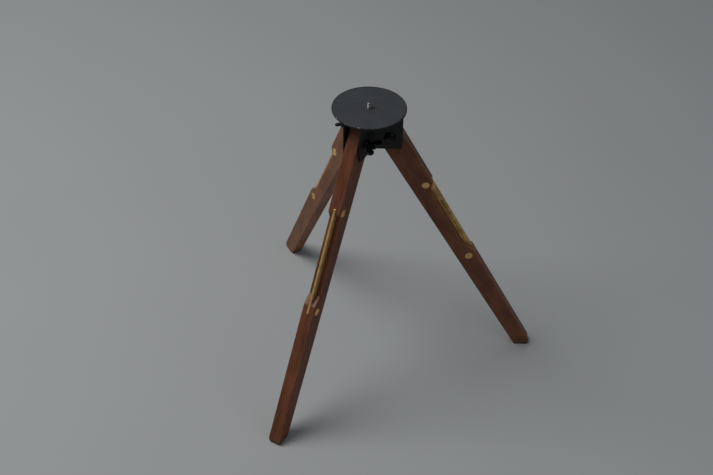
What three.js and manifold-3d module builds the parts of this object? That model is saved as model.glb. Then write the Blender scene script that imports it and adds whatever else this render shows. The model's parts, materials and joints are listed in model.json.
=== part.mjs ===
// A wooden table tripod for a camera: a round steel head with a threaded stud, and three tapered
// wooden legs. Each leg swings on a carriage bolt between two bent steel brackets and is clamped by a
// wing nut. A brass plate stands in a kerf across the notch of each leg, held by two flush rivets.
//
// Millimetres, +Z up. Leg 1 points along +X, and the others follow at equal angles, anticlockwise.
// Each leg has a station, a frame turned to the leg's direction: x is the distance out from the
// head's axis, y is across the leg and z is the height. In a leg's own frame the hinge is the origin,
// x points out of the outer face, y lies along the hinge and z runs up the leg.

import * as THREE from "three";
import { mergeVertices } from "three/addons/utils/BufferGeometryUtils.js";
import Module from "manifold-3d";

const wasm = await Module();
wasm.setup();

// --- Fits ---------------------------------------------------------------------------------------
const GAP = 0.3; // between pieces that touch, and around what passes through a hole
const CUT_THROUGH = 2; // how far a cutter runs past the faces that it opens
const WELD_TOLERANCE = 1e-4; // corners closer than this are one corner
const ROUND_STEPS = 20; // facets round a bolt, hole or washer
const CURVE_STEPS = 6; // half the facets of an arc in an outline
const DOME_STEPS = 5; // facets from a bolt head's middle to its edge
const HEAD_STEPS = 64; // facets round the head disc
const HEX_SIDES = 6;

// --- Head ---------------------------------------------------------------------------------------
const DISC_RADIUS = 50;
const DISC_THICKNESS = 2;
const DISC_EDGE = 0.4; // chamfer of the disc's rim
const STUD_DIAMETER = 6.35;
const STUD_HEIGHT = 8; // above the disc
const STUD_TAIL = 2; // below its lock nut
const STUD_CHAMFER = 0.7;
const LOCKNUT_FLATS = 11.1;
const LOCKNUT_HEIGHT = 5.5;
const STUD_WASHER_DIAMETER = 16;
const STUD_WASHER_THICKNESS = 1.6;

// --- Legs ---------------------------------------------------------------------------------------
const LEG_COUNT = 3;
const LEG_WIDTH = 18;
const LEG_DEPTH_AT_HINGE = 33.7;
const LEG_DEPTH_AT_FOOT = 22.6;
const HINGE_TO_TOE = 451; // along the outer face, down to the floor
const SPLAY = THREE.MathUtils.degToRad(28.2); // of the outer face from upright
const LEG_END_RADIUS = 34; // rounded top end, about the hinge
const LEG_TOP_GAP = 0.6; // between the tops of two open legs
const TOE_SETBACK = 4.3; // upright cut across the sharp outer corner of the foot
const PAD_THICKNESS = 1.5;
const PAD_INSET = 0.4;
const PAD_CORNER = 1.5;

// --- Notch, brass plate and rivets ----------------------------------------------------------------
const NOTCH_TOP = 100; // from the hinge, down the outer face
const NOTCH_UPPER_RAMP = 9;
const NOTCH_FLOOR = 111;
const NOTCH_LOWER_RAMP = 15.5;
const NOTCH_DEPTH = 8.5;
const UPPER_RIVET_DROP = 98.7; // from the hinge
const RIVET_SPACING = 145;
const RIVET_SETBACK = 10.5; // in from the outer face
const RIVET_SHANK_DIAMETER = 5;
const RIVET_HEAD_DIAMETER = 9.4;
const RIVET_HEAD_THICKNESS = 2.2;
const PLATE_THICKNESS = 3;
const PLATE_DEPTH = 16; // outer edge to inner edge
const PLATE_MARGIN = 4.5; // from a rivet's axis to the plate's end
const PLATE_CORNER = 1;

// --- Brackets -------------------------------------------------------------------------------------
const BRACKET_THICKNESS = 2;
const BRACKET_HEIGHT = 55.5;
const BRACKET_REACH = 45.8; // from the head's axis to the outer edges, along a leg
const BRACKET_CORNER = 1.5;
const BEND_RADIUS = 3; // inside the bend

// --- Hinge hardware -------------------------------------------------------------------------------
const HINGE_RADIUS = 28.5; // from the head's axis
const HINGE_DROP = 36.7; // below the disc's underside
const BOLT_DIAMETER = 6;
const BOLT_HEAD_DIAMETER = 16.5;
const BOLT_HEAD_HEIGHT = 4;
const BOLT_TAIL = 4.5; // beyond the body of the wing nut
const BOLT_CHAMFER = 0.6;
const SPACER_DIAMETER = 18;
const SPACER_THICKNESS = 1.7;
const NUT_WASHER_DIAMETER = 12.5;
const NUT_WASHER_THICKNESS = 1.6;
const NUT_BASE_DIAMETER = 12;
const NUT_TOP_DIAMETER = 9;
const NUT_HEIGHT = 7;
const WING_SPAN = 32;
const WING_HEIGHT = 15;
const WING_THICKNESS = 3;
const WING_LOBE_RADIUS = 5;
const WING_LOBE_START = THREE.MathUtils.degToRad(-45); // where the lobe leaves the wing's lower edge
const WING_LOBE_END = THREE.MathUtils.degToRad(162); // and where it meets the upper edge
const WING_ROOT_INSET = 1.1; // of a wing's root from the two ends of the nut's body
const WING_ANGLES = [20, -22, -6].map(THREE.MathUtils.degToRad); // outward wing of each leg's nut

// --- Values that follow ---------------------------------------------------------------------------
const LEG_FACE = LEG_DEPTH_AT_HINGE / 2; // outer face, in the leg's frame
const LEG_TAPER = (LEG_DEPTH_AT_HINGE - LEG_DEPTH_AT_FOOT) / HINGE_TO_TOE;
const HINGE_HEIGHT = HINGE_TO_TOE * Math.cos(SPLAY) - LEG_FACE * Math.sin(SPLAY);
const DISC_UNDERSIDE = HINGE_HEIGHT + HINGE_DROP;
const DISC_TOP = DISC_UNDERSIDE + DISC_THICKNESS;
const HALF_STEP = Math.PI / LEG_COUNT; // from a leg to the bracket beside it
const LEG_TOP_RADIUS =
  (LEG_WIDTH / 2) / Math.tan(HALF_STEP) + LEG_TOP_GAP / 2 / Math.sin(HALF_STEP);
const TOE_RADIUS =
  HINGE_RADIUS + LEG_FACE * Math.cos(SPLAY) + HINGE_TO_TOE * Math.sin(SPLAY) - TOE_SETBACK;
const SOLE_HEIGHT = PAD_THICKNESS + GAP;
const LOWER_RIVET_DROP = UPPER_RIVET_DROP + RIVET_SPACING;
const RIVET_X = LEG_FACE - RIVET_SETBACK;
const SPACER_FACE = LEG_WIDTH / 2 + GAP; // where a spacer starts, from the leg's mid-plane
const BRACKET_INSIDE = SPACER_FACE + SPACER_THICKNESS + GAP;
const BRACKET_OUTSIDE = BRACKET_INSIDE + BRACKET_THICKNESS;
const NUT_WASHER_FACE = BRACKET_OUTSIDE + GAP;
const NUT_FACE = NUT_WASHER_FACE + NUT_WASHER_THICKNESS + GAP;
const BOLT_END = NUT_FACE + NUT_HEIGHT + BOLT_TAIL;
const BOLT_HEAD_FACE = BRACKET_OUTSIDE + GAP;

// --- Materials ------------------------------------------------------------------------------------
const FINISHES = {
  walnut: { color: 0x5a372b, roughness: 0.55, metalness: 0 },
  brass: { color: 0xa5823c, roughness: 0.38, metalness: 1 },
  blackSteel: { color: 0x2a2b2d, roughness: 0.5, metalness: 0.3 },
  blackHardware: { color: 0x1c1c1e, roughness: 0.35, metalness: 0.6 },
  brightSteel: { color: 0xb9b9bb, roughness: 0.25, metalness: 1 },
  nylon: { color: 0x242424, roughness: 0.6, metalness: 0 },
  rubber: { color: 0x191715, roughness: 0.85, metalness: 0 },
};

// --- Solids ---------------------------------------------------------------------------------------

/** A three.js geometry as a manifold solid. */
function toSolid(geometry) {
  const bare = geometry.clone();
  bare.deleteAttribute("normal");
  bare.deleteAttribute("uv");
  const merged = mergeVertices(bare, WELD_TOLERANCE);
  return new wasm.Manifold(
    new wasm.Mesh({
      numProp: 3,
      vertProperties: merged.attributes.position.array,
      triVerts: new Uint32Array(merged.index.array),
    }),
  );
}

/** A manifold solid as a three.js geometry. */
function toGeometry(solid) {
  const mesh = solid.getMesh();
  const geometry = new THREE.BufferGeometry();
  geometry.setAttribute("position", new THREE.BufferAttribute(mesh.vertProperties, mesh.numProp));
  geometry.setIndex(new THREE.BufferAttribute(mesh.triVerts, 1));
  return geometry;
}

/** A geometry with others joined to it and others cut from it. */
function carved(base, joined, cut) {
  let solid = toSolid(base);
  for (const other of joined) {
    solid = solid.add(toSolid(other));
  }
  for (const other of cut) {
    solid = solid.subtract(toSolid(other));
  }
  return toGeometry(solid);
}

/** A solid turned about Z from [radius, height] points. */
function turned(profile, steps = ROUND_STEPS) {
  const points = profile.map(([radius, height]) => new THREE.Vector2(radius, height));
  return new THREE.LatheGeometry(points, steps).rotateX(Math.PI / 2);
}

/** A flat ring about Z that stands on z = 0. */
function ring(innerRadius, outerRadius, thickness) {
  return turned([
    [innerRadius, 0],
    [outerRadius, 0],
    [outerRadius, thickness],
    [innerRadius, thickness],
    [innerRadius, 0],
  ]);
}

/** A shape drawn in x and z, given a width across y, centred on y = 0. */
function acrossWidth(shape, width) {
  const settings = { depth: width, bevelEnabled: false, curveSegments: CURVE_STEPS };
  return new THREE.ExtrudeGeometry(shape, settings).rotateX(Math.PI / 2).translate(0, width / 2, 0);
}

/** A shape drawn in x and y, given a height from z = 0 up. */
function upright(shape, height) {
  const settings = { depth: height, bevelEnabled: false, curveSegments: CURVE_STEPS };
  return new THREE.ExtrudeGeometry(shape, settings);
}

/** A round bar across y, centred on y = 0. */
function crossBar(diameter, width, x, z) {
  return new THREE.CylinderGeometry(diameter / 2, diameter / 2, width, ROUND_STEPS).translate(x, 0, z);
}

/** A solid made about Z, laid along the hinge so that its +Z points along +Y. */
function alongHinge(geometry) {
  return geometry.rotateX(-Math.PI / 2);
}

/** A rectangle with rounded corners, from its lowest x and y to its highest. */
function roundedRectangle(lowX, lowY, highX, highY, radius) {
  const shape = new THREE.Shape();
  shape.moveTo(lowX + radius, lowY);
  shape.lineTo(highX - radius, lowY);
  shape.absarc(highX - radius, lowY + radius, radius, -Math.PI / 2, 0, false);
  shape.lineTo(highX, highY - radius);
  shape.absarc(highX - radius, highY - radius, radius, 0, Math.PI / 2, false);
  shape.lineTo(lowX + radius, highY);
  shape.absarc(lowX + radius, highY - radius, radius, Math.PI / 2, Math.PI, false);
  shape.lineTo(lowX, lowY + radius);
  shape.absarc(lowX + radius, lowY + radius, radius, Math.PI, 1.5 * Math.PI, false);
  return shape;
}

/** A hexagon with a flat distance and a round hole. */
function hexagonWithHole(flats, holeDiameter) {
  const shape = new THREE.Shape();
  const cornerRadius = flats / 2 / Math.cos(Math.PI / HEX_SIDES);
  for (let corner = 0; corner < HEX_SIDES; corner += 1) {
    const angle = (2 * Math.PI * corner) / HEX_SIDES;
    const point = [cornerRadius * Math.cos(angle), cornerRadius * Math.sin(angle)];
    if (corner === 0) {
      shape.moveTo(...point);
    } else {
      shape.lineTo(...point);
    }
  }
  shape.holes.push(new THREE.Path().absarc(0, 0, holeDiameter / 2, 0, 2 * Math.PI, true));
  return shape;
}

/** A named mesh in one of the finishes. */
function piece(name, geometry, finish) {
  const mesh = new THREE.Mesh(geometry, new THREE.MeshStandardMaterial(FINISHES[finish]));
  mesh.name = name;
  return mesh;
}

// --- Head pieces ----------------------------------------------------------------------------------

/** The round plate that the camera sits on, with a hole for the stud. */
function headDisc() {
  const hole = STUD_DIAMETER / 2 + GAP;
  const profile = [
    [hole, 0],
    [DISC_RADIUS - DISC_EDGE, 0],
    [DISC_RADIUS, DISC_EDGE],
    [DISC_RADIUS, DISC_THICKNESS - DISC_EDGE],
    [DISC_RADIUS - DISC_EDGE, DISC_THICKNESS],
    [hole, DISC_THICKNESS],
    [hole, 0],
  ];
  return turned(profile, HEAD_STEPS).translate(0, 0, DISC_UNDERSIDE);
}

/** The stud, its washer and its lock nut, from the top of the disc down. */
function studSet() {
  const radius = STUD_DIAMETER / 2;
  const washerTop = DISC_UNDERSIDE - GAP;
  const nutTop = washerTop - STUD_WASHER_THICKNESS - GAP;
  const studFoot = nutTop - LOCKNUT_HEIGHT - STUD_TAIL;
  const studTop = DISC_TOP + STUD_HEIGHT;
  const stud = turned([
    [0, studFoot],
    [radius - STUD_CHAMFER, studFoot],
    [radius, studFoot + STUD_CHAMFER],
    [radius, studTop - STUD_CHAMFER],
    [radius - STUD_CHAMFER, studTop],
    [0, studTop],
  ]);
  const washer = ring(radius + GAP, STUD_WASHER_DIAMETER / 2, STUD_WASHER_THICKNESS);
  const nut = upright(hexagonWithHole(LOCKNUT_FLATS, STUD_DIAMETER + 2 * GAP), LOCKNUT_HEIGHT);
  return [
    piece("camera_stud", stud, "brightSteel"),
    piece("stud_washer", washer.translate(0, 0, washerTop - STUD_WASHER_THICKNESS), "blackHardware"),
    piece("stud_lock_nut", nut.translate(0, 0, nutTop - LOCKNUT_HEIGHT), "blackHardware"),
  ];
}

/** The plan of a bent bracket, with the line midway between its two legs along +X. */
function bracketPlan() {
  const wing = new THREE.Vector2(Math.cos(HALF_STEP), Math.sin(HALF_STEP));
  const normal = new THREE.Vector2(Math.sin(HALF_STEP), -Math.cos(HALF_STEP));
  const at = (along, away, side) => [
    wing.x * along + normal.x * away,
    side * (wing.y * along + normal.y * away),
  ];
  const centre = (BRACKET_OUTSIDE + BEND_RADIUS) / Math.sin(HALF_STEP);
  const turn = Math.PI - (Math.PI / 2 - HALF_STEP);
  const shape = new THREE.Shape();
  shape.moveTo(...at(BRACKET_REACH, BRACKET_OUTSIDE, 1));
  shape.absarc(centre, 0, BEND_RADIUS, turn, 2 * Math.PI - turn, false);
  shape.lineTo(...at(BRACKET_REACH, BRACKET_OUTSIDE, -1));
  shape.lineTo(...at(BRACKET_REACH, BRACKET_INSIDE, -1));
  shape.absarc(centre, 0, BEND_RADIUS + BRACKET_THICKNESS, 2 * Math.PI - turn, turn, true);
  shape.lineTo(...at(BRACKET_REACH, BRACKET_INSIDE, 1));
  return shape;
}

/** A cutter that rounds the lower outer corner of a wing, in a leg's station. */
function cornerCutter() {
  const foot = DISC_UNDERSIDE - GAP - BRACKET_HEIGHT;
  const past = CUT_THROUGH;
  const shape = new THREE.Shape();
  shape.moveTo(BRACKET_REACH + past, foot - past);
  shape.lineTo(BRACKET_REACH + past, foot + BRACKET_CORNER);
  shape.lineTo(BRACKET_REACH, foot + BRACKET_CORNER);
  const centre = [BRACKET_REACH - BRACKET_CORNER, foot + BRACKET_CORNER];
  shape.absarc(...centre, BRACKET_CORNER, 0, -Math.PI / 2, true);
  shape.lineTo(BRACKET_REACH - BRACKET_CORNER, foot - past);
  return acrossWidth(shape, 2 * (BRACKET_OUTSIDE + past));
}

/** One bent bracket, between leg 1 and leg 2: a wing beside each. */
function bracket() {
  const body = upright(bracketPlan(), BRACKET_HEIGHT)
    .rotateZ(HALF_STEP)
    .translate(0, 0, DISC_UNDERSIDE - GAP - BRACKET_HEIGHT);
  const wingMiddle = (BRACKET_INSIDE + BRACKET_OUTSIDE) / 2;
  const drill = BRACKET_THICKNESS + 2 * CUT_THROUGH;
  const roundHole = crossBar(BOLT_DIAMETER + 2 * GAP, drill, HINGE_RADIUS, HINGE_HEIGHT);
  const square = BOLT_DIAMETER + 2 * GAP;
  const squareHole = new THREE.BoxGeometry(square, drill, square);
  squareHole.translate(HINGE_RADIUS, -wingMiddle, HINGE_HEIGHT);
  return carved(
    body,
    [],
    [
      roundHole.translate(0, wingMiddle, 0),
      cornerCutter(),
      squareHole.rotateZ(2 * HALF_STEP),
      cornerCutter().rotateZ(2 * HALF_STEP),
    ],
  );
}

// --- Leg pieces -----------------------------------------------------------------------------------

/** A point given by its radius and height in the station, in the leg's own frame. */
function inLeg(radius, height) {
  const out = radius - HINGE_RADIUS;
  const up = height - HINGE_HEIGHT;
  return [out * Math.cos(SPLAY) + up * Math.sin(SPLAY), up * Math.cos(SPLAY) - out * Math.sin(SPLAY)];
}

/** Where the tapered inner face meets the line through a station point, along a station direction. */
function onInnerFace([pointX, pointZ], [directionX, directionZ]) {
  const faceAtHinge = LEG_FACE - LEG_DEPTH_AT_HINGE;
  const reach =
    (faceAtHinge - LEG_TAPER * pointZ - pointX) / (directionX + LEG_TAPER * directionZ);
  return [pointX + directionX * reach, pointZ + directionZ * reach];
}

/** The side view of a wooden leg, in the leg's own frame. */
function legOutline() {
  const levelInLeg = [Math.cos(SPLAY), -Math.sin(SPLAY)];
  const uprightInLeg = [Math.sin(SPLAY), Math.cos(SPLAY)];
  const toe = inLeg(TOE_RADIUS, SOLE_HEIGHT);
  const heel = onInnerFace(toe, levelInLeg);
  const topLine = inLeg(LEG_TOP_RADIUS, HINGE_HEIGHT);
  const bevelFoot = onInnerFace(topLine, uprightInLeg);
  const bevelTopAngle = Math.acos((LEG_TOP_RADIUS - HINGE_RADIUS) / LEG_END_RADIUS) - SPLAY;
  const toeTop = (LEG_FACE - toe[0]) / Math.sin(SPLAY);
  const notchFoot = NOTCH_TOP + NOTCH_UPPER_RAMP + NOTCH_FLOOR;
  const shape = new THREE.Shape();
  shape.moveTo(...toe);
  shape.lineTo(LEG_FACE, toe[1] + toeTop * Math.cos(SPLAY));
  shape.lineTo(LEG_FACE, -notchFoot - NOTCH_LOWER_RAMP);
  shape.lineTo(LEG_FACE - NOTCH_DEPTH, -notchFoot);
  shape.lineTo(LEG_FACE - NOTCH_DEPTH, -NOTCH_TOP - NOTCH_UPPER_RAMP);
  shape.lineTo(LEG_FACE, -NOTCH_TOP);
  shape.absarc(0, 0, LEG_END_RADIUS, Math.acos(LEG_FACE / LEG_END_RADIUS), bevelTopAngle, false);
  shape.lineTo(...bevelFoot);
  shape.lineTo(...heel);
  return shape;
}

/** The wooden leg: its notch, the kerf for the plate, and the holes for the hinge and the rivets. */
function legBar() {
  const through = LEG_WIDTH + 2 * CUT_THROUGH;
  const kerfDepth = PLATE_DEPTH + GAP;
  const kerfLength = RIVET_SPACING + 2 * (PLATE_MARGIN + GAP);
  const kerf = new THREE.BoxGeometry(kerfDepth + CUT_THROUGH, PLATE_THICKNESS + 2 * GAP, kerfLength);
  const kerfX = LEG_FACE - kerfDepth / 2 + CUT_THROUGH / 2;
  const cuts = [
    crossBar(BOLT_DIAMETER + 2 * GAP, through, 0, 0),
    kerf.translate(kerfX, 0, -(UPPER_RIVET_DROP + LOWER_RIVET_DROP) / 2),
  ];
  const sinkDepth = RIVET_HEAD_THICKNESS + GAP + CUT_THROUGH;
  for (const drop of [UPPER_RIVET_DROP, LOWER_RIVET_DROP]) {
    cuts.push(crossBar(RIVET_SHANK_DIAMETER + 2 * GAP, through, RIVET_X, -drop));
    for (const side of [-1, 1]) {
      const sink = crossBar(RIVET_HEAD_DIAMETER + 2 * GAP, sinkDepth, RIVET_X, -drop);
      const sinkMiddle = LEG_WIDTH / 2 + CUT_THROUGH - sinkDepth / 2;
      cuts.push(sink.translate(0, side * sinkMiddle, 0));
    }
  }
  return carved(acrossWidth(legOutline(), LEG_WIDTH), [], cuts);
}

/** The brass plate that stands in the kerf, flush with the outer face. */
function brassPlate() {
  const lowest = -LOWER_RIVET_DROP - PLATE_MARGIN;
  const highest = -UPPER_RIVET_DROP + PLATE_MARGIN;
  const outline = roundedRectangle(LEG_FACE - PLATE_DEPTH, lowest, LEG_FACE, highest, PLATE_CORNER);
  for (const drop of [UPPER_RIVET_DROP, LOWER_RIVET_DROP]) {
    const hole = new THREE.Path();
    hole.absarc(RIVET_X, -drop, RIVET_SHANK_DIAMETER / 2 + GAP, 0, 2 * Math.PI, true);
    outline.holes.push(hole);
  }
  return acrossWidth(outline, PLATE_THICKNESS);
}

/** A brass rivet with a flush head on each side of the leg. */
function rivet(drop) {
  const head = RIVET_HEAD_DIAMETER / 2;
  const shank = RIVET_SHANK_DIAMETER / 2;
  const face = LEG_WIDTH / 2;
  const shoulder = face - RIVET_HEAD_THICKNESS;
  const profile = [
    [0, -face],
    [head, -face],
    [head, -shoulder],
    [shank, -shoulder],
    [shank, shoulder],
    [head, shoulder],
    [head, face],
    [0, face],
  ];
  return alongHinge(turned(profile)).translate(RIVET_X, 0, -drop);
}

/** The thin pad under a foot, in the leg's station. */
function footPad() {
  const levelInLeg = [Math.cos(SPLAY), -Math.sin(SPLAY)];
  const toe = inLeg(TOE_RADIUS, SOLE_HEIGHT);
  const heel = onInnerFace(toe, levelInLeg);
  const soleLength = Math.hypot(toe[0] - heel[0], toe[1] - heel[1]);
  const heelRadius = TOE_RADIUS - soleLength + PAD_INSET;
  const halfWidth = LEG_WIDTH / 2 - PAD_INSET;
  const plan = roundedRectangle(
    heelRadius,
    -halfWidth,
    TOE_RADIUS - PAD_INSET,
    halfWidth,
    PAD_CORNER,
  );
  return upright(plan, PAD_THICKNESS);
}

// --- Hinge hardware -------------------------------------------------------------------------------

/** The carriage bolt: a domed head, a square neck in the bracket and a round shank. */
function hingeBolt() {
  const headRadius = BOLT_HEAD_DIAMETER / 2;
  const domeRadius = (headRadius ** 2 + BOLT_HEAD_HEIGHT ** 2) / (2 * BOLT_HEAD_HEIGHT);
  const edgeAngle = Math.asin(headRadius / domeRadius);
  const profile = [];
  for (let step = 0; step <= DOME_STEPS; step += 1) {
    const angle = (edgeAngle * step) / DOME_STEPS;
    const rise = domeRadius * (Math.cos(angle) - Math.cos(edgeAngle));
    profile.push([domeRadius * Math.sin(angle), -BOLT_HEAD_FACE - rise]);
  }
  const shank = BOLT_DIAMETER / 2;
  profile.push([shank, -BOLT_HEAD_FACE]);
  profile.push([shank, BOLT_END - BOLT_CHAMFER]);
  profile.push([shank - BOLT_CHAMFER, BOLT_END]);
  profile.push([0, BOLT_END]);
  const neckLength = BOLT_HEAD_FACE - BRACKET_INSIDE;
  const neck = new THREE.BoxGeometry(BOLT_DIAMETER, BOLT_DIAMETER, neckLength);
  const body = carved(turned(profile), [neck.translate(0, 0, -BOLT_HEAD_FACE + neckLength / 2)], []);
  return alongHinge(body);
}

/** The outline of one wing of the wing nut: x out from the bolt, z up from the nut's base. */
function wingOutline() {
  const lobeX = WING_SPAN / 2 - WING_LOBE_RADIUS;
  const lobeZ = WING_HEIGHT - WING_LOBE_RADIUS;
  const root = (BOLT_DIAMETER / 2 + GAP + NUT_TOP_DIAMETER / 2) / 2;
  const shape = new THREE.Shape();
  shape.moveTo(root, WING_ROOT_INSET);
  shape.lineTo(NUT_BASE_DIAMETER / 2, WING_ROOT_INSET);
  shape.absarc(lobeX, lobeZ, WING_LOBE_RADIUS, WING_LOBE_START, WING_LOBE_END, false);
  shape.lineTo(root, NUT_HEIGHT - WING_ROOT_INSET);
  return shape;
}

/** A wing nut whose +X wing is turned to an angle about the bolt. */
function wingNut(angle) {
  const bore = BOLT_DIAMETER / 2 + GAP;
  const body = turned([
    [bore, 0],
    [NUT_BASE_DIAMETER / 2, 0],
    [NUT_TOP_DIAMETER / 2, NUT_HEIGHT],
    [bore, NUT_HEIGHT],
    [bore, 0],
  ]);
  const wing = acrossWidth(wingOutline(), WING_THICKNESS);
  const opposite = wing.clone().rotateZ(Math.PI);
  const nut = alongHinge(carved(body, [wing, opposite], []));
  return nut.rotateY(-angle).translate(0, NUT_FACE, 0);
}

/** What is on one hinge, about the bolt: the bolt, two spacers, the nut's washer and the wing nut. */
function hingeSet(number) {
  const bore = BOLT_DIAMETER / 2 + GAP;
  const spacer = () => alongHinge(ring(bore, SPACER_DIAMETER / 2, SPACER_THICKNESS));
  const washer = alongHinge(ring(bore, NUT_WASHER_DIAMETER / 2, NUT_WASHER_THICKNESS));
  const outerSpacer = spacer().translate(0, -SPACER_FACE - SPACER_THICKNESS, 0);
  return [
    piece(`hinge_bolt_${number}`, hingeBolt(), "blackHardware"),
    piece(`head_side_spacer_${number}`, outerSpacer, "nylon"),
    piece(`nut_side_spacer_${number}`, spacer().translate(0, SPACER_FACE, 0), "nylon"),
    piece(`nut_washer_${number}`, washer.translate(0, NUT_WASHER_FACE, 0), "blackHardware"),
    piece(`wing_nut_${number}`, wingNut(WING_ANGLES[number - 1]), "blackHardware"),
  ];
}

// --- Assembly -------------------------------------------------------------------------------------

/** What swings with one leg, apart from its pad. */
function legSet(number) {
  return [
    piece(`leg_${number}_bar`, legBar(), "walnut"),
    piece(`leg_${number}_plate`, brassPlate(), "brass"),
    piece(`leg_${number}_upper_rivet`, rivet(UPPER_RIVET_DROP), "brass"),
    piece(`leg_${number}_lower_rivet`, rivet(LOWER_RIVET_DROP), "brass"),
  ];
}

/** A station: one leg on its hinge, its hardware, and the bracket on the leg's left-hand side. */
function station(number) {
  const hinge = new THREE.Group();
  hinge.position.set(HINGE_RADIUS, 0, HINGE_HEIGHT);
  hinge.add(...hingeSet(number));

  const leg = new THREE.Group();
  leg.rotation.y = -SPLAY;
  leg.add(...legSet(number));
  hinge.add(leg);

  const whole = new THREE.Group();
  whole.rotation.z = (number - 1) * 2 * HALF_STEP;
  whole.add(hinge);
  whole.add(piece(`leg_${number}_pad`, footPad(), "rubber"));
  whole.add(piece(`bracket_${number}`, bracket(), "blackSteel"));
  return whole;
}

const stand = new THREE.Group();
stand.add(piece("head_disc", headDisc(), "blackSteel"));
stand.add(...studSet());
for (let number = 1; number <= LEG_COUNT; number += 1) {
  stand.add(station(number));
}

// The origin is on the floor, in the middle of the whole stand's box.
stand.updateMatrixWorld(true);
const box = new THREE.Box3().setFromObject(stand, true);
const middle = box.getCenter(new THREE.Vector3());
stand.position.set(-middle.x, -middle.y, -box.min.z);

const tripod = new THREE.Group();
tripod.add(stand);

export default tripod;
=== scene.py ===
"""A wooden table tripod: a round black head with a threaded stud, and three folding walnut legs.

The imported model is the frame. Every mesh is drawn in millimetres in its own workshop frame, such as
a leg lying along its length, and is then brought to its place in metres. The pieces stand for the
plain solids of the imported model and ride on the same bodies.
"""
import json
import logging
import math
import random
from dataclasses import dataclass, field, replace
from enum import Enum
from functools import cache
from typing import Any

import bmesh
import bpy
from mathutils import Matrix, Vector


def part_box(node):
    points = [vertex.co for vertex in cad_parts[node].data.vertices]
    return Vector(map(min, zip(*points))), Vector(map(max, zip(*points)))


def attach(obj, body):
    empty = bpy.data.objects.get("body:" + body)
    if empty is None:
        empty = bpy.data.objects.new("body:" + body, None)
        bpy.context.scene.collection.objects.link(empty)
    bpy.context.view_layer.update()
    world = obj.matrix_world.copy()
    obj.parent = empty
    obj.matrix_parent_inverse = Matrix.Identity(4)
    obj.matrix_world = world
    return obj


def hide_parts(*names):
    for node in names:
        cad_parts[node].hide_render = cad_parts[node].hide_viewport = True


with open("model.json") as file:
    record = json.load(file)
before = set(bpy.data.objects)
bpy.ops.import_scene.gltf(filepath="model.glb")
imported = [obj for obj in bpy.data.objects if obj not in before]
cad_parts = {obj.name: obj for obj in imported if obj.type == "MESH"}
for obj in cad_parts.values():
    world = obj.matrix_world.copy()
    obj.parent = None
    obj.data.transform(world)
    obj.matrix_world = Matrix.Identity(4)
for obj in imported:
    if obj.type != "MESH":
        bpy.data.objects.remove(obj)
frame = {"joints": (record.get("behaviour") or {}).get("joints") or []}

log = logging.getLogger("tripod")

MM = 0.001
LEG_NUMBERS = (1, 2, 3)
HALF_TURN = math.pi / len(LEG_NUMBERS)  # from a leg to the bracket beside it
SUPPORT = 0.12  # mm, flat strip beside a rounded edge, which keeps the broad face flat in the light
TOUCH = 0.03  # mm left between pieces that touch
PLAY = 0.1  # mm round what passes through a bore
EDGE = "edge"  # vertex attribute: 1 on rounded edges, 0 on faces, -1 on the lower sawn ramp and in stamps; the upper ramp stays 0, so that its darker colour is painted shade
UP = Vector((0, 0, 1))
TIPPED = Matrix(((1, 0, 0, 0), (0, 0, -1, 0), (0, 1, 0, 0), (0, 0, 0, 1)))  # y becomes z

Triple = tuple[float, float, float]
Outline = list[Triple]  # x, y and how much of an edge the point is
Corners = list[Triple]  # x, y and the rounding's radius there


class Slot(Enum):
    """The record's material slots."""

    DISC = "painted_disc"
    STUD = "bright_stud"
    WASHER = "black_washer"
    BOLT = "black_bolt"
    WOOD = "wood"
    PLATE = "brass_plate"
    RIVET = "brass_rivet"
    PAD = "rubber_pad"
    BRACKET = "painted_bracket"
    SPACER = "spacer"
    WING_NUT = "black_wing_nut"


# --- Node trees -----------------------------------------------------------------------------------


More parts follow.
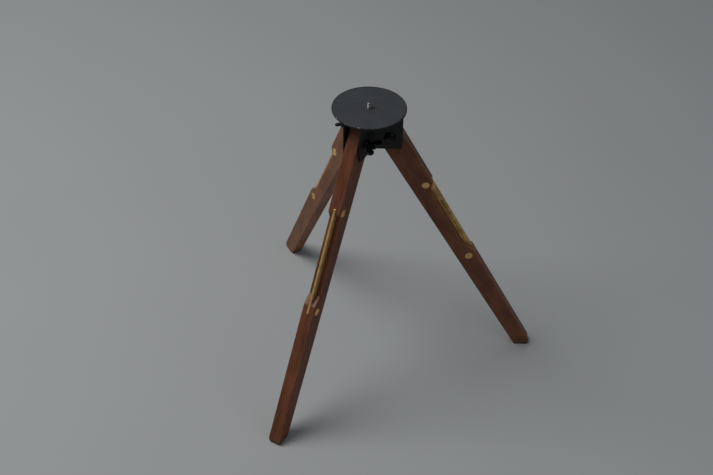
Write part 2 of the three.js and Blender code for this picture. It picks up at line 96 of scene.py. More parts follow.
class Bench:
    """A node tree under construction, where a node is asked for by its type."""

    def __init__(self, tree: bpy.types.NodeTree) -> None:
        """Starts work on a shader or geometry tree."""
        self.tree = tree

    def node(self, kind: str, settings: dict[str, Any] | None = None,
             sockets: dict[Any, Any] | None = None) -> bpy.types.Node:
        """Adds one node.

        Args:
            kind: The node's type.
            settings: The node's own settings, set before its sockets.
            sockets: Values or links for its inputs, by name or by number.

        Returns:
            The new node.
        """
        node = self.tree.nodes.new(kind)
        for name, value in (settings or {}).items():
            setattr(node, name, value)
        for key, value in (sockets or {}).items():
            self.feed(node.inputs[key], value)
        return node

    def feed(self, socket: bpy.types.NodeSocket, value: Any) -> None:
        """Links or sets one input.

        Args:
            socket: The input.
            value: A node's output, an Amount, or a plain value.
        """
        source = value.socket if isinstance(value, Amount) else value
        if isinstance(source, bpy.types.NodeSocket):
            self.tree.links.new(source, socket)
        elif socket.type == "RGBA" and len(source) == 3:
            socket.default_value = (*source, 1.0)
        else:
            socket.default_value = source

    def amount(self, node: bpy.types.Node, output: Any = 0) -> "Amount":
        """Wraps a node's output for use in expressions."""
        return Amount(self, node.outputs[output])

    def split(self, vector: Any) -> list["Amount"]:
        """The x, y and z of a vector."""
        node = self.node("ShaderNodeSeparateXYZ", {}, {0: vector})
        return [self.amount(node, axis) for axis in range(3)]

    def combined(self, *parts: Any) -> bpy.types.NodeSocket:
        """A vector of up to three numbers."""
        return self.node("ShaderNodeCombineXYZ", {}, dict(enumerate(parts))).outputs[0]

    def vector(self, operation: str, *terms: Any) -> bpy.types.NodeSocket:
        """The result of a Vector Math node with its inputs in order."""
        sockets = dict(enumerate(terms))
        return self.node("ShaderNodeVectorMath", {"operation": operation}, sockets).outputs[0]

    def mixed(self, factor: Any, first: Any, second: Any) -> bpy.types.NodeSocket:
        """Two colours mixed, where the factor is how much of the second there is."""
        settings = {"data_type": "RGBA", "clamp_factor": True}
        return self.node("ShaderNodeMix", settings, {0: factor, 6: first, 7: second}).outputs[2]

    def noise(self, vector: Any, noise: "Noise") -> "Amount":
        """Reads a noise texture.

        Args:
            vector: Where it is read.
            noise: Its sizes.

        Returns:
            The noise, about 0.5 on average, or its smooth step.
        """
        scale = noise.scale
        if isinstance(scale, tuple):
            vector, scale = self.vector("MULTIPLY", vector, scale), 1.0
        sockets = {"Vector": vector, "Scale": scale, "Detail": noise.detail,
                   "Roughness": noise.roughness, "Distortion": noise.distortion}
        read = self.amount(self.node("ShaderNodeTexNoise", {"noise_dimensions": "3D"}, sockets))
        return read.between(*noise.step) if noise.step else read


class Amount:
    """A number that varies over a surface or over points, with Python's operators."""

    def __init__(self, bench: Bench, socket: bpy.types.NodeSocket) -> None:
        """Wraps the output that holds the number."""
        self.bench = bench
        self.socket = socket

    def worked(self, operation: str, *terms: Any) -> "Amount":
        """The result of a Math node with its inputs in order."""
        node = self.bench.node("ShaderNodeMath", {"operation": operation}, dict(enumerate(terms)))
        return self.bench.amount(node)

    def __add__(self, other: Any) -> "Amount":
        """self + other."""
        return self.worked("ADD", self, other)

    def __sub__(self, other: Any) -> "Amount":
        """self - other."""
        return self.worked("SUBTRACT", self, other)

    def __rsub__(self, other: Any) -> "Amount":
        """other - self."""
        return self.worked("SUBTRACT", other, self)

    def __mul__(self, other: Any) -> "Amount":
        """self * other."""
        return self.worked("MULTIPLY", self, other)

    def __truediv__(self, other: Any) -> "Amount":
        """self / other."""
        return self.worked("DIVIDE", self, other)

    def __pow__(self, other: Any) -> "Amount":
        """self ** other."""
        return self.worked("POWER", self, other)

    def __gt__(self, other: Any) -> "Amount":
        """1 where self is the larger, else 0."""
        return self.worked("GREATER_THAN", self, other)

    __radd__, __rmul__ = __add__, __mul__

    def sine(self) -> "Amount":
        """The sine of the number."""
        return self.worked("SINE", self)

    def fraction(self) -> "Amount":
        """The number's part after the point."""
        return self.worked("FRACT", self)

    def size(self) -> "Amount":
        """The number without its sign."""
        return self.worked("ABSOLUTE", self)

    def between(self, low: float, high: float) -> "Amount":
        """A smooth step.

        Args:
            low: Where the step is 0.
            high: Where the step is 1, which may be below low.

        Returns:
            The step, from 0 to 1.
        """
        ends = (low, high, 0.0, 1.0) if low <= high else (high, low, 1.0, 0.0)
        settings = {"interpolation_type": "SMOOTHSTEP"}
        sockets = dict(enumerate((self, *ends)))
        return self.bench.amount(self.bench.node("ShaderNodeMapRange", settings, sockets))


def length_of(x: Amount, y: Amount) -> Amount:
    """The distance from the axis of a point at x and y."""
    return (x ** 2.0 + y ** 2.0) ** 0.5


# --- Finishes -------------------------------------------------------------------------------------


@dataclass(frozen=True)
class Noise:
    """The sizes of one noise in a pattern."""

    scale: float | Triple  # features for each millimetre, the same or different along each axis
    detail: float = 3.0  # octaves
    roughness: float = 0.5  # strength of the finer octaves
    step: tuple[float, float] | None = None  # the ends of a smooth step, if it has one
    distortion: float = 0.0


@dataclass(frozen=True)
class Ground:
    """What a pattern is drawn on."""

    bench: Bench
    local: Any  # place on the piece, in its own millimetres
    drawn: Any  # the same with a shift of its own, so that no two pieces share a pattern
    edge: Amount  # 1 on rounded edges

    def read(self, noise: Noise) -> Amount:
        """One of the pattern's noises."""
        return self.bench.noise(self.drawn, noise)


@dataclass(frozen=True)
class Finish:
    """A surface finish, patterned in millimetres in the frame of the piece that wears it."""

    name: str
    colour: Triple
    roughness: float
    metallic: float = 0.0
    coat: float = 0.0
    coat_roughness: float = 0.2
    specular: float = 0.5
    bump: float = 0.05  # mm of relief
    shift: float = 400.0  # mm, the furthest that chance moves the pattern

    def material(self, place: Matrix, label: str = "") -> bpy.types.Material:
        """Makes the finish as a material.

        Args:
            place: The piece's frame, from its millimetres to the model's metres.
            label: What sets this piece's pattern apart from that of its twins.

        Returns:
            The material.
        """
        name = f"{self.name}_{label}" if label else self.name
        known = bpy.data.materials.get(name)
        if known:
            return known
        made = bpy.data.materials.new(name)
        made.use_nodes = True
        made.diffuse_color = (*self.colour, 1.0)
        made.node_tree.nodes.clear()
        bench = Bench(made.node_tree)
        turn, chance = place.inverted(), random.Random(name)
        sockets = {
            "Vector": bench.node("ShaderNodeTexCoord").outputs["Object"],
            "Location": turn.to_translation(),
            "Rotation": turn.to_euler("XYZ"),
            "Scale": (1 / MM,) * 3,
        }
        local = bench.node("ShaderNodeMapping", {"vector_type": "POINT"}, sockets).outputs[0]
        offset = Vector([chance.uniform(-self.shift, self.shift) for _ in range(3)])
        edge = bench.amount(bench.node("ShaderNodeAttribute", {"attribute_name": EDGE}), "Fac")
        surface = self.surface(Ground(bench, local, bench.vector("ADD", local, offset), edge))
        bump = {"Strength": 1.0, "Distance": self.bump * MM, "Height": surface.pop("height")}
        sockets = {
            "Base Color": self.colour,
            "Roughness": self.roughness,
            "Metallic": self.metallic,
            "Coat Weight": self.coat,
            "Coat Roughness": self.coat_roughness,
            "Specular IOR Level": self.specular,
            "Normal": bench.node("ShaderNodeBump", {}, bump).outputs[0],
            **surface,
        }
        shader = bench.node("ShaderNodeBsdfPrincipled", {}, sockets)
        bench.node("ShaderNodeOutputMaterial", {}, {"Surface": shader.outputs[0]})
        return made

    def surface(self, on: Ground) -> dict[str, Any]:
        """Draws the pattern.

        Args:
            on: What it is drawn on.

        Returns:
            The shader's varying inputs by name, with the relief as "height".
        """
        raise NotImplementedError


@dataclass(frozen=True)
class Walnut(Finish):
    """Oiled walnut with its grain along Z: growth rings, fibres, pores and rubbed edges."""

    dark: Triple = (0.062, 0.0190, 0.0082)
    light: Triple = (0.270, 0.092, 0.040)
    rubbed: Triple = (0.36, 0.145, 0.070)
    # Pale end-grain colour, put on the lower ramp only; leaving it off the upper ramp paints shade
    # there.
    sawn: Triple = (0.34, 0.17, 0.105)
    pith: tuple[float, float] = (-46.0, 17.0)  # mm, the rings' middle in x and y
    ring_spacing: float = 3.4
    wander: Noise = Noise((0.05, 0.05, 0.007), 2.0)  # of the rings along the board
    waver: Noise = Noise((0.12, 0.12, 0.03), 2.0)
    fibres: Noise = Noise((1.6, 1.6, 0.035), 5.0, 0.62)
    fine: Noise = Noise((5.0, 5.0, 0.12), 3.0, 0.6)
    pores: Noise = Noise((3.4, 3.4, 0.16), 1.0, step=(0.64, 0.72))
    figure: Noise = Noise((0.06, 0.06, 0.02), 2.0, step=(0.3, 0.7))
    rub: Noise = Noise(0.11, step=(0.34, 0.62))

    def surface(self, on: Ground) -> dict[str, Any]:
        """Draws the grain. See Finish.surface."""
        x, y, _ = on.bench.split(on.local)
        wander, waver = on.read(self.wander) - 0.5, on.read(self.waver) - 0.5
        across = length_of(x - self.pith[0], y - self.pith[1]) + wander * 22.0 + waver * 3.0
        rings = (across / self.ring_spacing).fraction()
        late = rings.between(0.0, 0.85) * rings.between(1.0, 0.88)
        fibres, fine, pores = on.read(self.fibres), on.read(self.fine), on.read(self.pores)
        tone = ((1.0 - late) * 0.2 + fibres.between(0.25, 0.75) * 0.4
                + on.read(self.figure) * 0.4)
        grain = on.bench.mixed(tone, self.dark, self.light)
        mellow = on.bench.mixed(fine * 0.35, grain, self.colour)
        worn = on.bench.mixed(on.edge * on.read(self.rub) * 0.6, mellow, self.rubbed)
        pored = on.bench.mixed(pores * 0.75, worn, self.dark)
        # The pale sawn colour goes on the lower ramp only: real end grain there, while the upper ramp
        # keeps the darker colour as painted shade.
        ends = on.edge.between(-0.2, -0.8)
        return {
            "Base Color": on.bench.mixed(ends * (0.35 + fine * 0.5), pored, self.sawn),
            "Roughness": self.roughness + (fibres - 0.5) * 0.24 + pores * 0.2 - ends * 0.12,
            "height": fibres * 0.35 + fine * 0.3 + late * 0.25 - pores * 0.7,
        }

    def board(self, tint: Triple) -> "Walnut":
        """The same walnut made lighter or darker by a factor in red, green and blue: painted light,
        for how the light falls on one leg.
        """
        return replace(self, **{
            tone: tuple(part * factor for part, factor in zip(getattr(self, tone), tint))
            for tone in ("colour", "dark", "light", "rubbed")
        })


@dataclass(frozen=True)
class Brass(Finish):
    """Brass that has dulled, with fine lines along Z and tarnish in the low places."""

    tarnish: Triple = (0.27, 0.175, 0.062)
    grime: Triple = (0.02, 0.014, 0.008)
    lines: Noise = Noise((7.0, 7.0, 0.09), 4.0, 0.65)
    cloud: Noise = Noise(0.09, 4.0, 0.6, step=(0.36, 0.7))
    spots: Noise = Noise(0.55, 2.0, step=(0.62, 0.74))

    def surface(self, on: Ground) -> dict[str, Any]:
        """Draws the brushing and the tarnish. See Finish.surface."""
        lines, cloud, spots = on.read(self.lines), on.read(self.cloud), on.read(self.spots)
        stamped = on.edge.between(-0.1, -0.9)
        kept = 1.0 - on.edge.between(0.0, 1.0) * 0.7
        dull = (cloud * 0.55 + spots * 0.4) * kept + stamped * 0.5
        toned = on.bench.mixed(dull, self.colour, self.tarnish)
        return {
            "Base Color": on.bench.mixed(stamped * 0.85, toned, self.grime),
            "Roughness": self.roughness + lines * 0.16 + dull * 0.22 - on.edge * 0.1,
            "height": lines - spots * 0.2,
        }


@dataclass(frozen=True)
class Paint(Finish):
    """Satin black paint over steel: a fine orange peel, dust, and bare metal on rubbed edges."""

    dust: Triple = (0.16, 0.165, 0.17)
    bare: Triple = (0.34, 0.34, 0.35)
    rim: Triple = (0.0065, 0.0067, 0.0070)
    chipped: float = 0.58  # noise above which a rubbed edge is bare
    peel: Noise = Noise(1.5, 2.0)
    grit: Noise = Noise(4.5, 2.0)
    smear: Noise = Noise(0.045, 4.0, 0.55, step=(0.35, 0.75), distortion=0.6)
    specks: Noise = Noise(0.9, 1.0, step=(0.745, 0.77))
    chips: Noise = Noise(0.22, 4.0, 0.6)

    def surface(self, on: Ground) -> dict[str, Any]:
        """Draws the paint. See Finish.surface."""
        peel, grit, smear = on.read(self.peel), on.read(self.grit), on.read(self.smear)
        chips = on.edge * on.read(self.chips).between(self.chipped, self.chipped + 0.06)
        film = on.read(self.specks) * 0.3 + smear * 0.05
        dusty = on.bench.mixed(film, self.colour, self.dust)
        rimmed = on.bench.mixed(on.edge * 0.85, dusty, self.rim)
        return {
            "Base Color": on.bench.mixed(chips * 0.8, rimmed, self.bare),
            "Roughness": self.roughness + smear * 0.12 + (grit - 0.5) * 0.12 - chips * 0.1,
            "Metallic": chips * 0.9,
            "height": peel * 0.6 + grit * 0.4 - chips * 1.2,
        }


@dataclass(frozen=True)
class BlackOxide(Finish):
    """Oiled black steel of bolts and nuts, with bright wear on the high edges."""

    worn: Triple = (0.17, 0.165, 0.16)
    rust: Triple = (0.07, 0.032, 0.018)
    cast: Noise = Noise(1.1, 3.0, 0.6)
    oil: Noise = Noise(0.16, step=(0.35, 0.7))
    bloom: Noise = Noise(0.5, 3.0, 0.6, step=(0.66, 0.76))
    rub: Noise = Noise(0.35, step=(0.5, 0.68))

    def surface(self, on: Ground) -> dict[str, Any]:
        """Draws the oxide. See Finish.surface."""
        bloom, rub = on.read(self.bloom), on.edge * on.read(self.rub)
        aged = on.bench.mixed(bloom * 0.4, self.colour, self.rust)
        return {
            "Base Color": on.bench.mixed(rub * 0.6, aged, self.worn),
            "Roughness": self.roughness + on.read(self.oil) * 0.16 + bloom * 0.2 - rub * 0.06,
            "height": on.read(self.cast),
        }


@dataclass(frozen=True)
class BrightSteel(Finish):
    """Plated steel, bright on the crests of a thread and grimy in its roots."""

    grime: Triple = (0.07, 0.062, 0.055)
    root_radius: float = 2.5
    crest_radius: float = 3.075
    mottle: Noise = Noise(1.3, 3.0, 0.6)

    def surface(self, on: Ground) -> dict[str, Any]:
        """Draws the plating. See Finish.surface."""
        x, y, _ = on.bench.split(on.local)
        crest = length_of(x, y).between(self.root_radius, self.crest_radius)
        mottle = on.read(self.mottle)
        dirt = (1.0 - crest) * 0.55 * mottle.between(0.25, 0.6)
        return {
            "Base Color": on.bench.mixed(dirt, self.colour, self.grime),
            "Roughness": self.roughness + dirt * 0.35 + (mottle - 0.5) * 0.14,
            "height": mottle,
        }


@dataclass(frozen=True)
class Moulded(Finish):
    """Moulded nylon or rubber, with a fine texture and a film of dust."""

    dust: Triple = (0.10, 0.095, 0.09)
    skin: Noise = Noise(3.2, 2.0)
    film: Noise = Noise(0.3, 4.0, 0.6, step=(0.42, 0.8))

    def surface(self, on: Ground) -> dict[str, Any]:
        """Draws the moulded skin. See Finish.surface."""
        film = on.read(self.film)
        colour = on.bench.mixed(film * 0.3 + on.edge * 0.12, self.colour, self.dust)
        rough = self.roughness + film * 0.1
        return {"Base Color": colour, "Roughness": rough, "height": on.read(self.skin)}


@dataclass(frozen=True)
class StudioFloor(Finish):
    """A plain pale floor with the faintest mottle."""

    lift: float = 1.05  # how much lighter the mottle is
    mottle: Noise = Noise(0.004)
    tooth: Noise = Noise(0.6, 2.0)

    def surface(self, on: Ground) -> dict[str, Any]:
        """Draws the floor. See Finish.surface."""
        lifted = tuple(part * self.lift for part in self.colour)
        colour = on.bench.mixed(on.read(self.mottle), self.colour, lifted)
        return {"Base Color": colour, "height": on.read(self.tooth)}


WALNUT = Walnut("walnut", (0.160, 0.051, 0.022), 0.56, coat=0.14, coat_roughness=0.4,
                specular=0.22, bump=0.07)
LEG_LIGHT_TINTS = {1: (1.12, 1.2, 1.24), 2: (1.4, 1.8, 2.0), 3: (1.0, 0.98, 0.96)}  # painted light: each leg's walnut made lighter or darker for how the light falls on it
BRASS = Brass("brass", (0.84, 0.54, 0.21), 0.42, metallic=0.62, bump=0.02)
RIVET_BRASS = Brass("rivet_brass", (0.98, 0.62, 0.26), 0.4, metallic=0.5, bump=0.02)
DISC_PAINT = Paint("disc_paint", (0.043, 0.0485, 0.054), 0.5, bump=0.012, chipped=0.6)
# Painted shade: the brackets wear the disc's satin black, made about seven times darker and with
# darker dust, to stand in for the disc's shade over them.
SHADED_BRACKET_PAINT = Paint("bracket_paint", (0.0065, 0.0067, 0.0070), 0.48, specular=0.3, bump=0.015,
                      dust=(0.05, 0.05, 0.052))
BLACK_OXIDE = BlackOxide("black_oxide", (0.009, 0.0088, 0.0085), 0.24, metallic=0.85, bump=0.03)
BRIGHT_STEEL = BrightSteel("bright_steel", (0.40, 0.385, 0.385), 0.34, metallic=1.0, bump=0.01)
NYLON = Moulded("nylon", (0.014, 0.014, 0.015), 0.55, bump=0.015)
RUBBER = Moulded("rubber", (0.012, 0.011, 0.010), 0.85, bump=0.04)
FLOOR = StudioFloor("studio_floor", (0.46, 0.478, 0.487), 0.8, bump=0.05)


# --- Frames ---------------------------------------------------------------------------------------


def frame_matrix(x: Vector, y: Vector, z: Vector, origin: Vector) -> Matrix:
    """The matrix from millimetres along x, y and z about an origin to metres in the model."""
    turned_frame = Matrix((x, y, z)).transposed().to_4x4()
    return Matrix.Translation(origin) @ turned_frame @ Matrix.Scale(MM, 4)


def middle_of(node: str) -> Vector:
    """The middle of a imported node's box, in metres."""
    low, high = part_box(node)
    return (low + high) / 2


@dataclass(frozen=True)
class HeadPlace:
    """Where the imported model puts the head."""

    axis: Vector
    underside: float
    top: float

    @classmethod
    def packed(cls) -> "HeadPlace":
        """Reads the head disc's box."""
        low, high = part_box("head_disc")
        return cls((low + high) / 2, low.z, high.z)

    def upright(self, height: float, azimuth: float = 0.0) -> Matrix:
        """A frame whose z is the head's axis, at a height and turned about the axis."""
        turn = Matrix.Rotation(azimuth, 3, "Z").transposed()
        return frame_matrix(*turn, Vector((self.axis.x, self.axis.y, height)))


@dataclass(frozen=True)
class HingePlace:
    """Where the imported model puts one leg's hinge, and how the leg stands on it."""

    origin: Vector
    axis: Vector
    rise: Vector

    @classmethod
    def packed(cls, number: int) -> "HingePlace":
        """Reads the joint and the rivets of the leg with this number."""
        joint = next(j for j in frame["joints"] if j["name"] == f"leg_{number}_fold")
        rise = middle_of(f"leg_{number}_upper_rivet") - middle_of(f"leg_{number}_lower_rivet")
        return cls(Vector(joint["pos_m"]), Vector(joint["axis"]), rise.normalized())

    @property
    def splay(self) -> float:
        """The leg's angle from upright."""
        return math.acos(self.rise.z)

    @property
    def radius(self) -> float:
        """The hinge's distance from the head's axis, in millimetres."""
        return (self.origin - HeadPlace.packed().axis).to_2d().length / MM

    @property
    def outward(self) -> Vector:
        """The level direction away from the head's axis."""
        return self.axis.cross(UP)

    def leg(self) -> Matrix:
        """The leg's frame: x out of its outer face, y along the hinge, z up the leg."""
        return frame_matrix(self.axis.cross(self.rise), self.axis, self.rise, self.origin)

    def bolt(self) -> Matrix:
        """The bolt's frame: x level and outwards, y down, z along the hinge."""
        return frame_matrix(self.outward, Vector((0, 0, -1)), self.axis, self.origin)

    def station(self) -> Matrix:
        """The upright frame on the floor under the hinge: x outwards, z up."""
        foot = Vector((self.origin.x, self.origin.y, 0))
        return frame_matrix(self.outward, self.axis, UP, foot)


# --- Outlines and meshes --------------------------------------------------------------------------


def eased(corners: Corners, closed: bool = True, steps: int = 4) -> Outline:
    """Rounds the corners of a line.

    Args:
        corners: The line's corners.
        closed: Whether the last corner joins the first.
        steps: Facets of each rounding.

    Returns:
        The rounded line, with its roundings marked as edges.
    """
    line: Outline = []
    count = len(corners)
    for index, (x, y, radius) in enumerate(corners):
        here = Vector((x, y))
        if radius <= 0 or (not closed and index in (0, count - 1)):
            line.append((x, y, 0.0))
            continue
        before = Vector(corners[index - 1][:2]) - here
        after = Vector(corners[(index + 1) % count][:2]) - here
        room = 0.45 * min(before.length, after.length)  # two roundings share one side
        before.normalize()
        after.normalize()
        half = before.angle(after) / 2
        reach = min(radius / math.tan(half), room)
        strip = min(SUPPORT, room - reach)
        start, end = here + before * reach, here + after * reach
        centre = here + (before + after).normalized() * (reach / math.cos(half))
        rounding = [(*(centre + (start - centre).slerp(end - centre, step / steps)),
                     0.0 if step in (0, steps) else 1.0) for step in range(steps + 1)]
        if strip > SUPPORT / 6:
            rounding = [(*(start + before * strip), 0.0), *rounding, (*(end + after * strip), 0.0)]
        line += rounding
    return line


def oblong(left: float, low: float, right: float, high: float, radius: float = 0.0) -> Corners:
    """The corners of an oblong, anticlockwise, with the same rounding on each."""
    return [(left, low, radius), (right, low, radius), (right, high, radius), (left, high, radius)]


def arc(x: float, y: float, radius: float, start: float, end: float, steps: int) -> Outline:
    """Points of an arc about x and y from a start angle to an end angle, both ends included."""
    angles = [start + (end - start) * step / steps for step in range(steps + 1)]
    return [(x + radius * math.cos(a), y + radius * math.sin(a), 0.0) for a in angles]


def ringed(radius: float, start: float, end: float, spacing: float) -> Outline:
    """Profile points up a straight rod from start to end, close enough for a thread."""
    count = max(2, round(abs(end - start) / spacing))
    return [(radius, start + (end - start) * step / count, 0.0) for step in range(count + 1)]


def cylinder_profile(radius: float, low: float, high: float) -> Outline:
    """The profile of a plain round cutter."""
    return [(0.0, low, 0.0), (radius, low, 0.0), (radius, high, 0.0), (0.0, high, 0.0)]


def smoothed(mesh: bpy.types.Mesh, sharp: float = 40.0) -> bpy.types.Mesh:
    """Shades a mesh smooth, apart from edges above an angle in degrees, and hands it back."""
    mesh.shade_smooth()
    mesh.set_sharp_from_angle(angle=math.radians(sharp))
    return mesh


def finished_mesh(name: str, bm: bmesh.types.BMesh, sharp: float = 40.0) -> bpy.types.Mesh:
    """Closes a bmesh's work.

    Args:
        name: The mesh's name.
        bm: The work, which is freed.
        sharp: Angle above which an edge stays sharp, in degrees.

    Returns:
        The mesh, with smooth faces that point outwards.
    """
    bmesh.ops.remove_doubles(bm, verts=bm.verts, dist=1e-4)
    bmesh.ops.recalc_face_normals(bm, faces=bm.faces)
    mesh = bpy.data.meshes.new(name)
    bm.to_mesh(mesh)
    bm.free()
    return smoothed(mesh, sharp)


def skinned(name: str, rings: list[list[tuple[float, float, float, float]]], looped: bool,
            sharp: float = 40.0) -> bpy.types.Mesh:
    """Joins rings of points into a solid.

    Args:
        name: The mesh's name.
        rings: Each ring's points as x, y, z and edge. A ring of one point is a pole.
        looped: Whether the last ring joins the first. If not, both are capped.
        sharp: Angle above which an edge stays sharp, in degrees.

    Returns:
        The solid.
    """
    bm = bmesh.new()
    edge_layer = bm.verts.layers.float.new(EDGE)
    loops = []
    for ring in rings:
        loops.append([])
        for *place, edge in ring:
            vert = bm.verts.new(place)
            vert[edge_layer] = edge
            loops[-1].append(vert)
    if not looped:
        bm.faces.new(reversed(loops[0]))
        bm.faces.new(loops[-1])
    for low, high in zip(loops, loops[1:] + loops[:1] if looped else loops[1:]):
        for here in range(max(len(low), len(high))):
            after = here + 1
            corners = [low[here % len(low)], low[after % len(low)],
                       high[after % len(high)], high[here % len(high)]]
            distinct = list(dict.fromkeys(corners))
            if len(distinct) > 2:
                bm.faces.new(distinct)
    return finished_mesh(name, bm, sharp)


def turned(name: str, profile: Outline, steps: int = 64) -> bpy.types.Mesh:
    """Turns a profile about Z.

    Args:
        name: The mesh's name.
        profile: Points as radius, height and edge. The last joins the first.
        steps: Facets round the axis.

    Returns:
        The solid.
    """
    rings = []
    for radius, height, edge in profile:
        angles = [2 * math.pi * step / steps for step in range(steps if radius > 1e-6 else 1)]
        rings.append([(radius * math.cos(a), radius * math.sin(a), height, edge) for a in angles])
    return skinned(name, rings, True)


def prism(name: str, outline: Outline, low: float, high: float, rounding: float,
          steps: int = 4) -> bpy.types.Mesh:
    """Gives an outline a height, and rounds its two rims.

    Args:
        name: The mesh's name.
        outline: The outline, anticlockwise.
        low: The lower face's z.
        high: The upper face's z.
        rounding: The rims' radius.
        steps: Facets of a rim.

    Returns:
        The solid.
    """
    points = [Vector((x, y)) for x, y, _ in outline]
    mitres = []
    for before, point, after in zip(points[-1:] + points[:-1], points, points[1:] + points[:1]):
        first, second = (point - before).normalized(), (after - point).normalized()
        inward = Vector((-first.y, first.x)), Vector((-second.y, second.x))
        mitres.append((inward[0] + inward[1]) / (1 + inward[0].dot(inward[1])))
    levels = [(rounding + SUPPORT, 0.0, 0.0)]
    for step in range(steps + 1):
        angle = math.pi / 2 * step / steps
        edge = 0.0 if step in (0, steps) else 1.0
        levels.append((rounding * (1 - math.sin(angle)), rounding * (1 - math.cos(angle)), edge))
    levels.append((0.0, rounding + SUPPORT, 0.0))
    rings = []
    for side, face in ((1, low), (-1, high)):
        made = []
        for inset, rise, edge in levels:
            flat = inset > rounding or rise > rounding
            made.append([(*(point + mitre * inset), face + side * rise,
                          corner * (inset == 0.0) if flat else edge)
                         for point, mitre, (_, _, corner) in zip(points, mitres, outline)])
        rings += made[::side]
    return skinned(name, rings, False)


def sliced(mesh: bpy.types.Mesh, direction: Vector, places: list[float]) -> bpy.types.Mesh:
    """Divides a mesh's faces along parallel planes, and leaves its shape as it is.

    Args:
        mesh: The mesh.
        direction: The planes' normal.
        places: How far each plane is from the origin.

    Returns:
        The same mesh.
    """
    bm = bmesh.new()
    bm.from_mesh(mesh)
    for place in places:
        everything = bm.verts[:] + bm.edges[:] + bm.faces[:]
        bmesh.ops.bisect_plane(bm, geom=everything, dist=1e-5, plane_co=direction * place,
                               plane_no=direction)
    bm.to_mesh(mesh)
    bm.free()
    return mesh


def linked(name: str, data: Any) -> bpy.types.Object:
    """Puts a mesh, light or camera in the scene as an object."""
    made = bpy.data.objects.new(name, data)
    bpy.context.scene.collection.objects.link(made)
    return made


def evaluated(mesh: bpy.types.Mesh, *modifiers: tuple[str, dict[str, Any]]) -> bpy.types.Mesh:
    """Works modifiers into a mesh.

    Args:
        mesh: The mesh, which is used up.
        *modifiers: Each one's type and settings. A dict under "inputs" fills a node tree's inputs.

    Returns:
        The plain mesh that they make.
    """
    work = linked("work", mesh)
    for kind, settings in modifiers:
        modifier = work.modifiers.new(kind, kind)
        inputs = settings.pop("inputs", {})
        for name, value in settings.items():
            setattr(modifier, name, value)
        if inputs:
            items = modifier.node_group.interface.items_tree
            sockets = {item.name: item.identifier for item in items
                       if item.item_type == "SOCKET" and item.in_out == "INPUT"}
            for name, value in inputs.items():
                modifier[sockets[name]] = value
    graph = bpy.context.evaluated_depsgraph_get()
    made = bpy.data.meshes.new_from_object(work.evaluated_get(graph), depsgraph=graph)
    made.name = mesh.name
    bpy.data.objects.remove(work)
    return made


def grown(mesh: bpy.types.Mesh, tree: bpy.types.NodeTree, **inputs: Any) -> bpy.types.Mesh:
    """Runs a mesh through a geometry tree, whose inputs are given by their names."""
    named = {name.capitalize(): value for name, value in inputs.items()}
    return evaluated(mesh, ("NODES", {"node_group": tree, "inputs": named}))


def cut(mesh: bpy.types.Mesh, *cutters: bpy.types.Mesh, sharp: float = 40.0) -> bpy.types.Mesh:
    """Cuts solids out of a mesh.

    Args:
        mesh: What is cut.
        *cutters: What is taken away.
        sharp: Angle above which an edge stays sharp, in degrees.

    Returns:
        What is left.
    """
    tools = [linked("cutter", cutter) for cutter in cutters]
    made = evaluated(mesh, *[
        ("BOOLEAN", {"operation": "DIFFERENCE", "solver": "MANIFOLD", "object": tool})
        for tool in tools
    ])
    for tool in tools:
        bpy.data.objects.remove(tool)
    return smoothed(made, sharp)


def joined(name: str, *meshes: bpy.types.Mesh) -> bpy.types.Mesh:
    """Puts separate solids in one mesh.

    Args:
        name: The mesh's name.
        *meshes: The solids.

    Returns:
        One mesh that holds them all.
    """
    bm = bmesh.new()
    for mesh in meshes:
        bm.from_mesh(mesh)
    made = bpy.data.meshes.new(name)
    bm.to_mesh(made)
    bm.free()
    return smoothed(made)


def moved(mesh: bpy.types.Mesh, *matrices: Matrix) -> bpy.types.Mesh:
    """Moves a mesh's vertices by one matrix after the other, and hands the mesh back."""
    for matrix in matrices:
        mesh.transform(matrix)
    return mesh


def by(x: float, y: float, z: float) -> Matrix:
    """The matrix of a plain move."""
    return Matrix.Translation((x, y, z))


def add_piece(name: str, mesh: bpy.types.Mesh, place: Matrix, material: bpy.types.Material,
              body: str, slot: Slot, *nodes: str) -> None:
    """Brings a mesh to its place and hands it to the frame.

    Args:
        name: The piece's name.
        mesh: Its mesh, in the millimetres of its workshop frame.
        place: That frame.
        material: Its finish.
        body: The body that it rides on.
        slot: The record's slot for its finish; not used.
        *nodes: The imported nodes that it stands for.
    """
    mesh.transform(place)
    mesh.name = name
    mesh.materials.clear()
    mesh.materials.append(material)
    piece = linked(name, mesh)
    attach(piece, body)
    if nodes:
        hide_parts(*nodes)
    log.info("%s: %d faces, on %s", name, len(mesh.polygons), body)


# --- Geometry node trees --------------------------------------------------------------------------


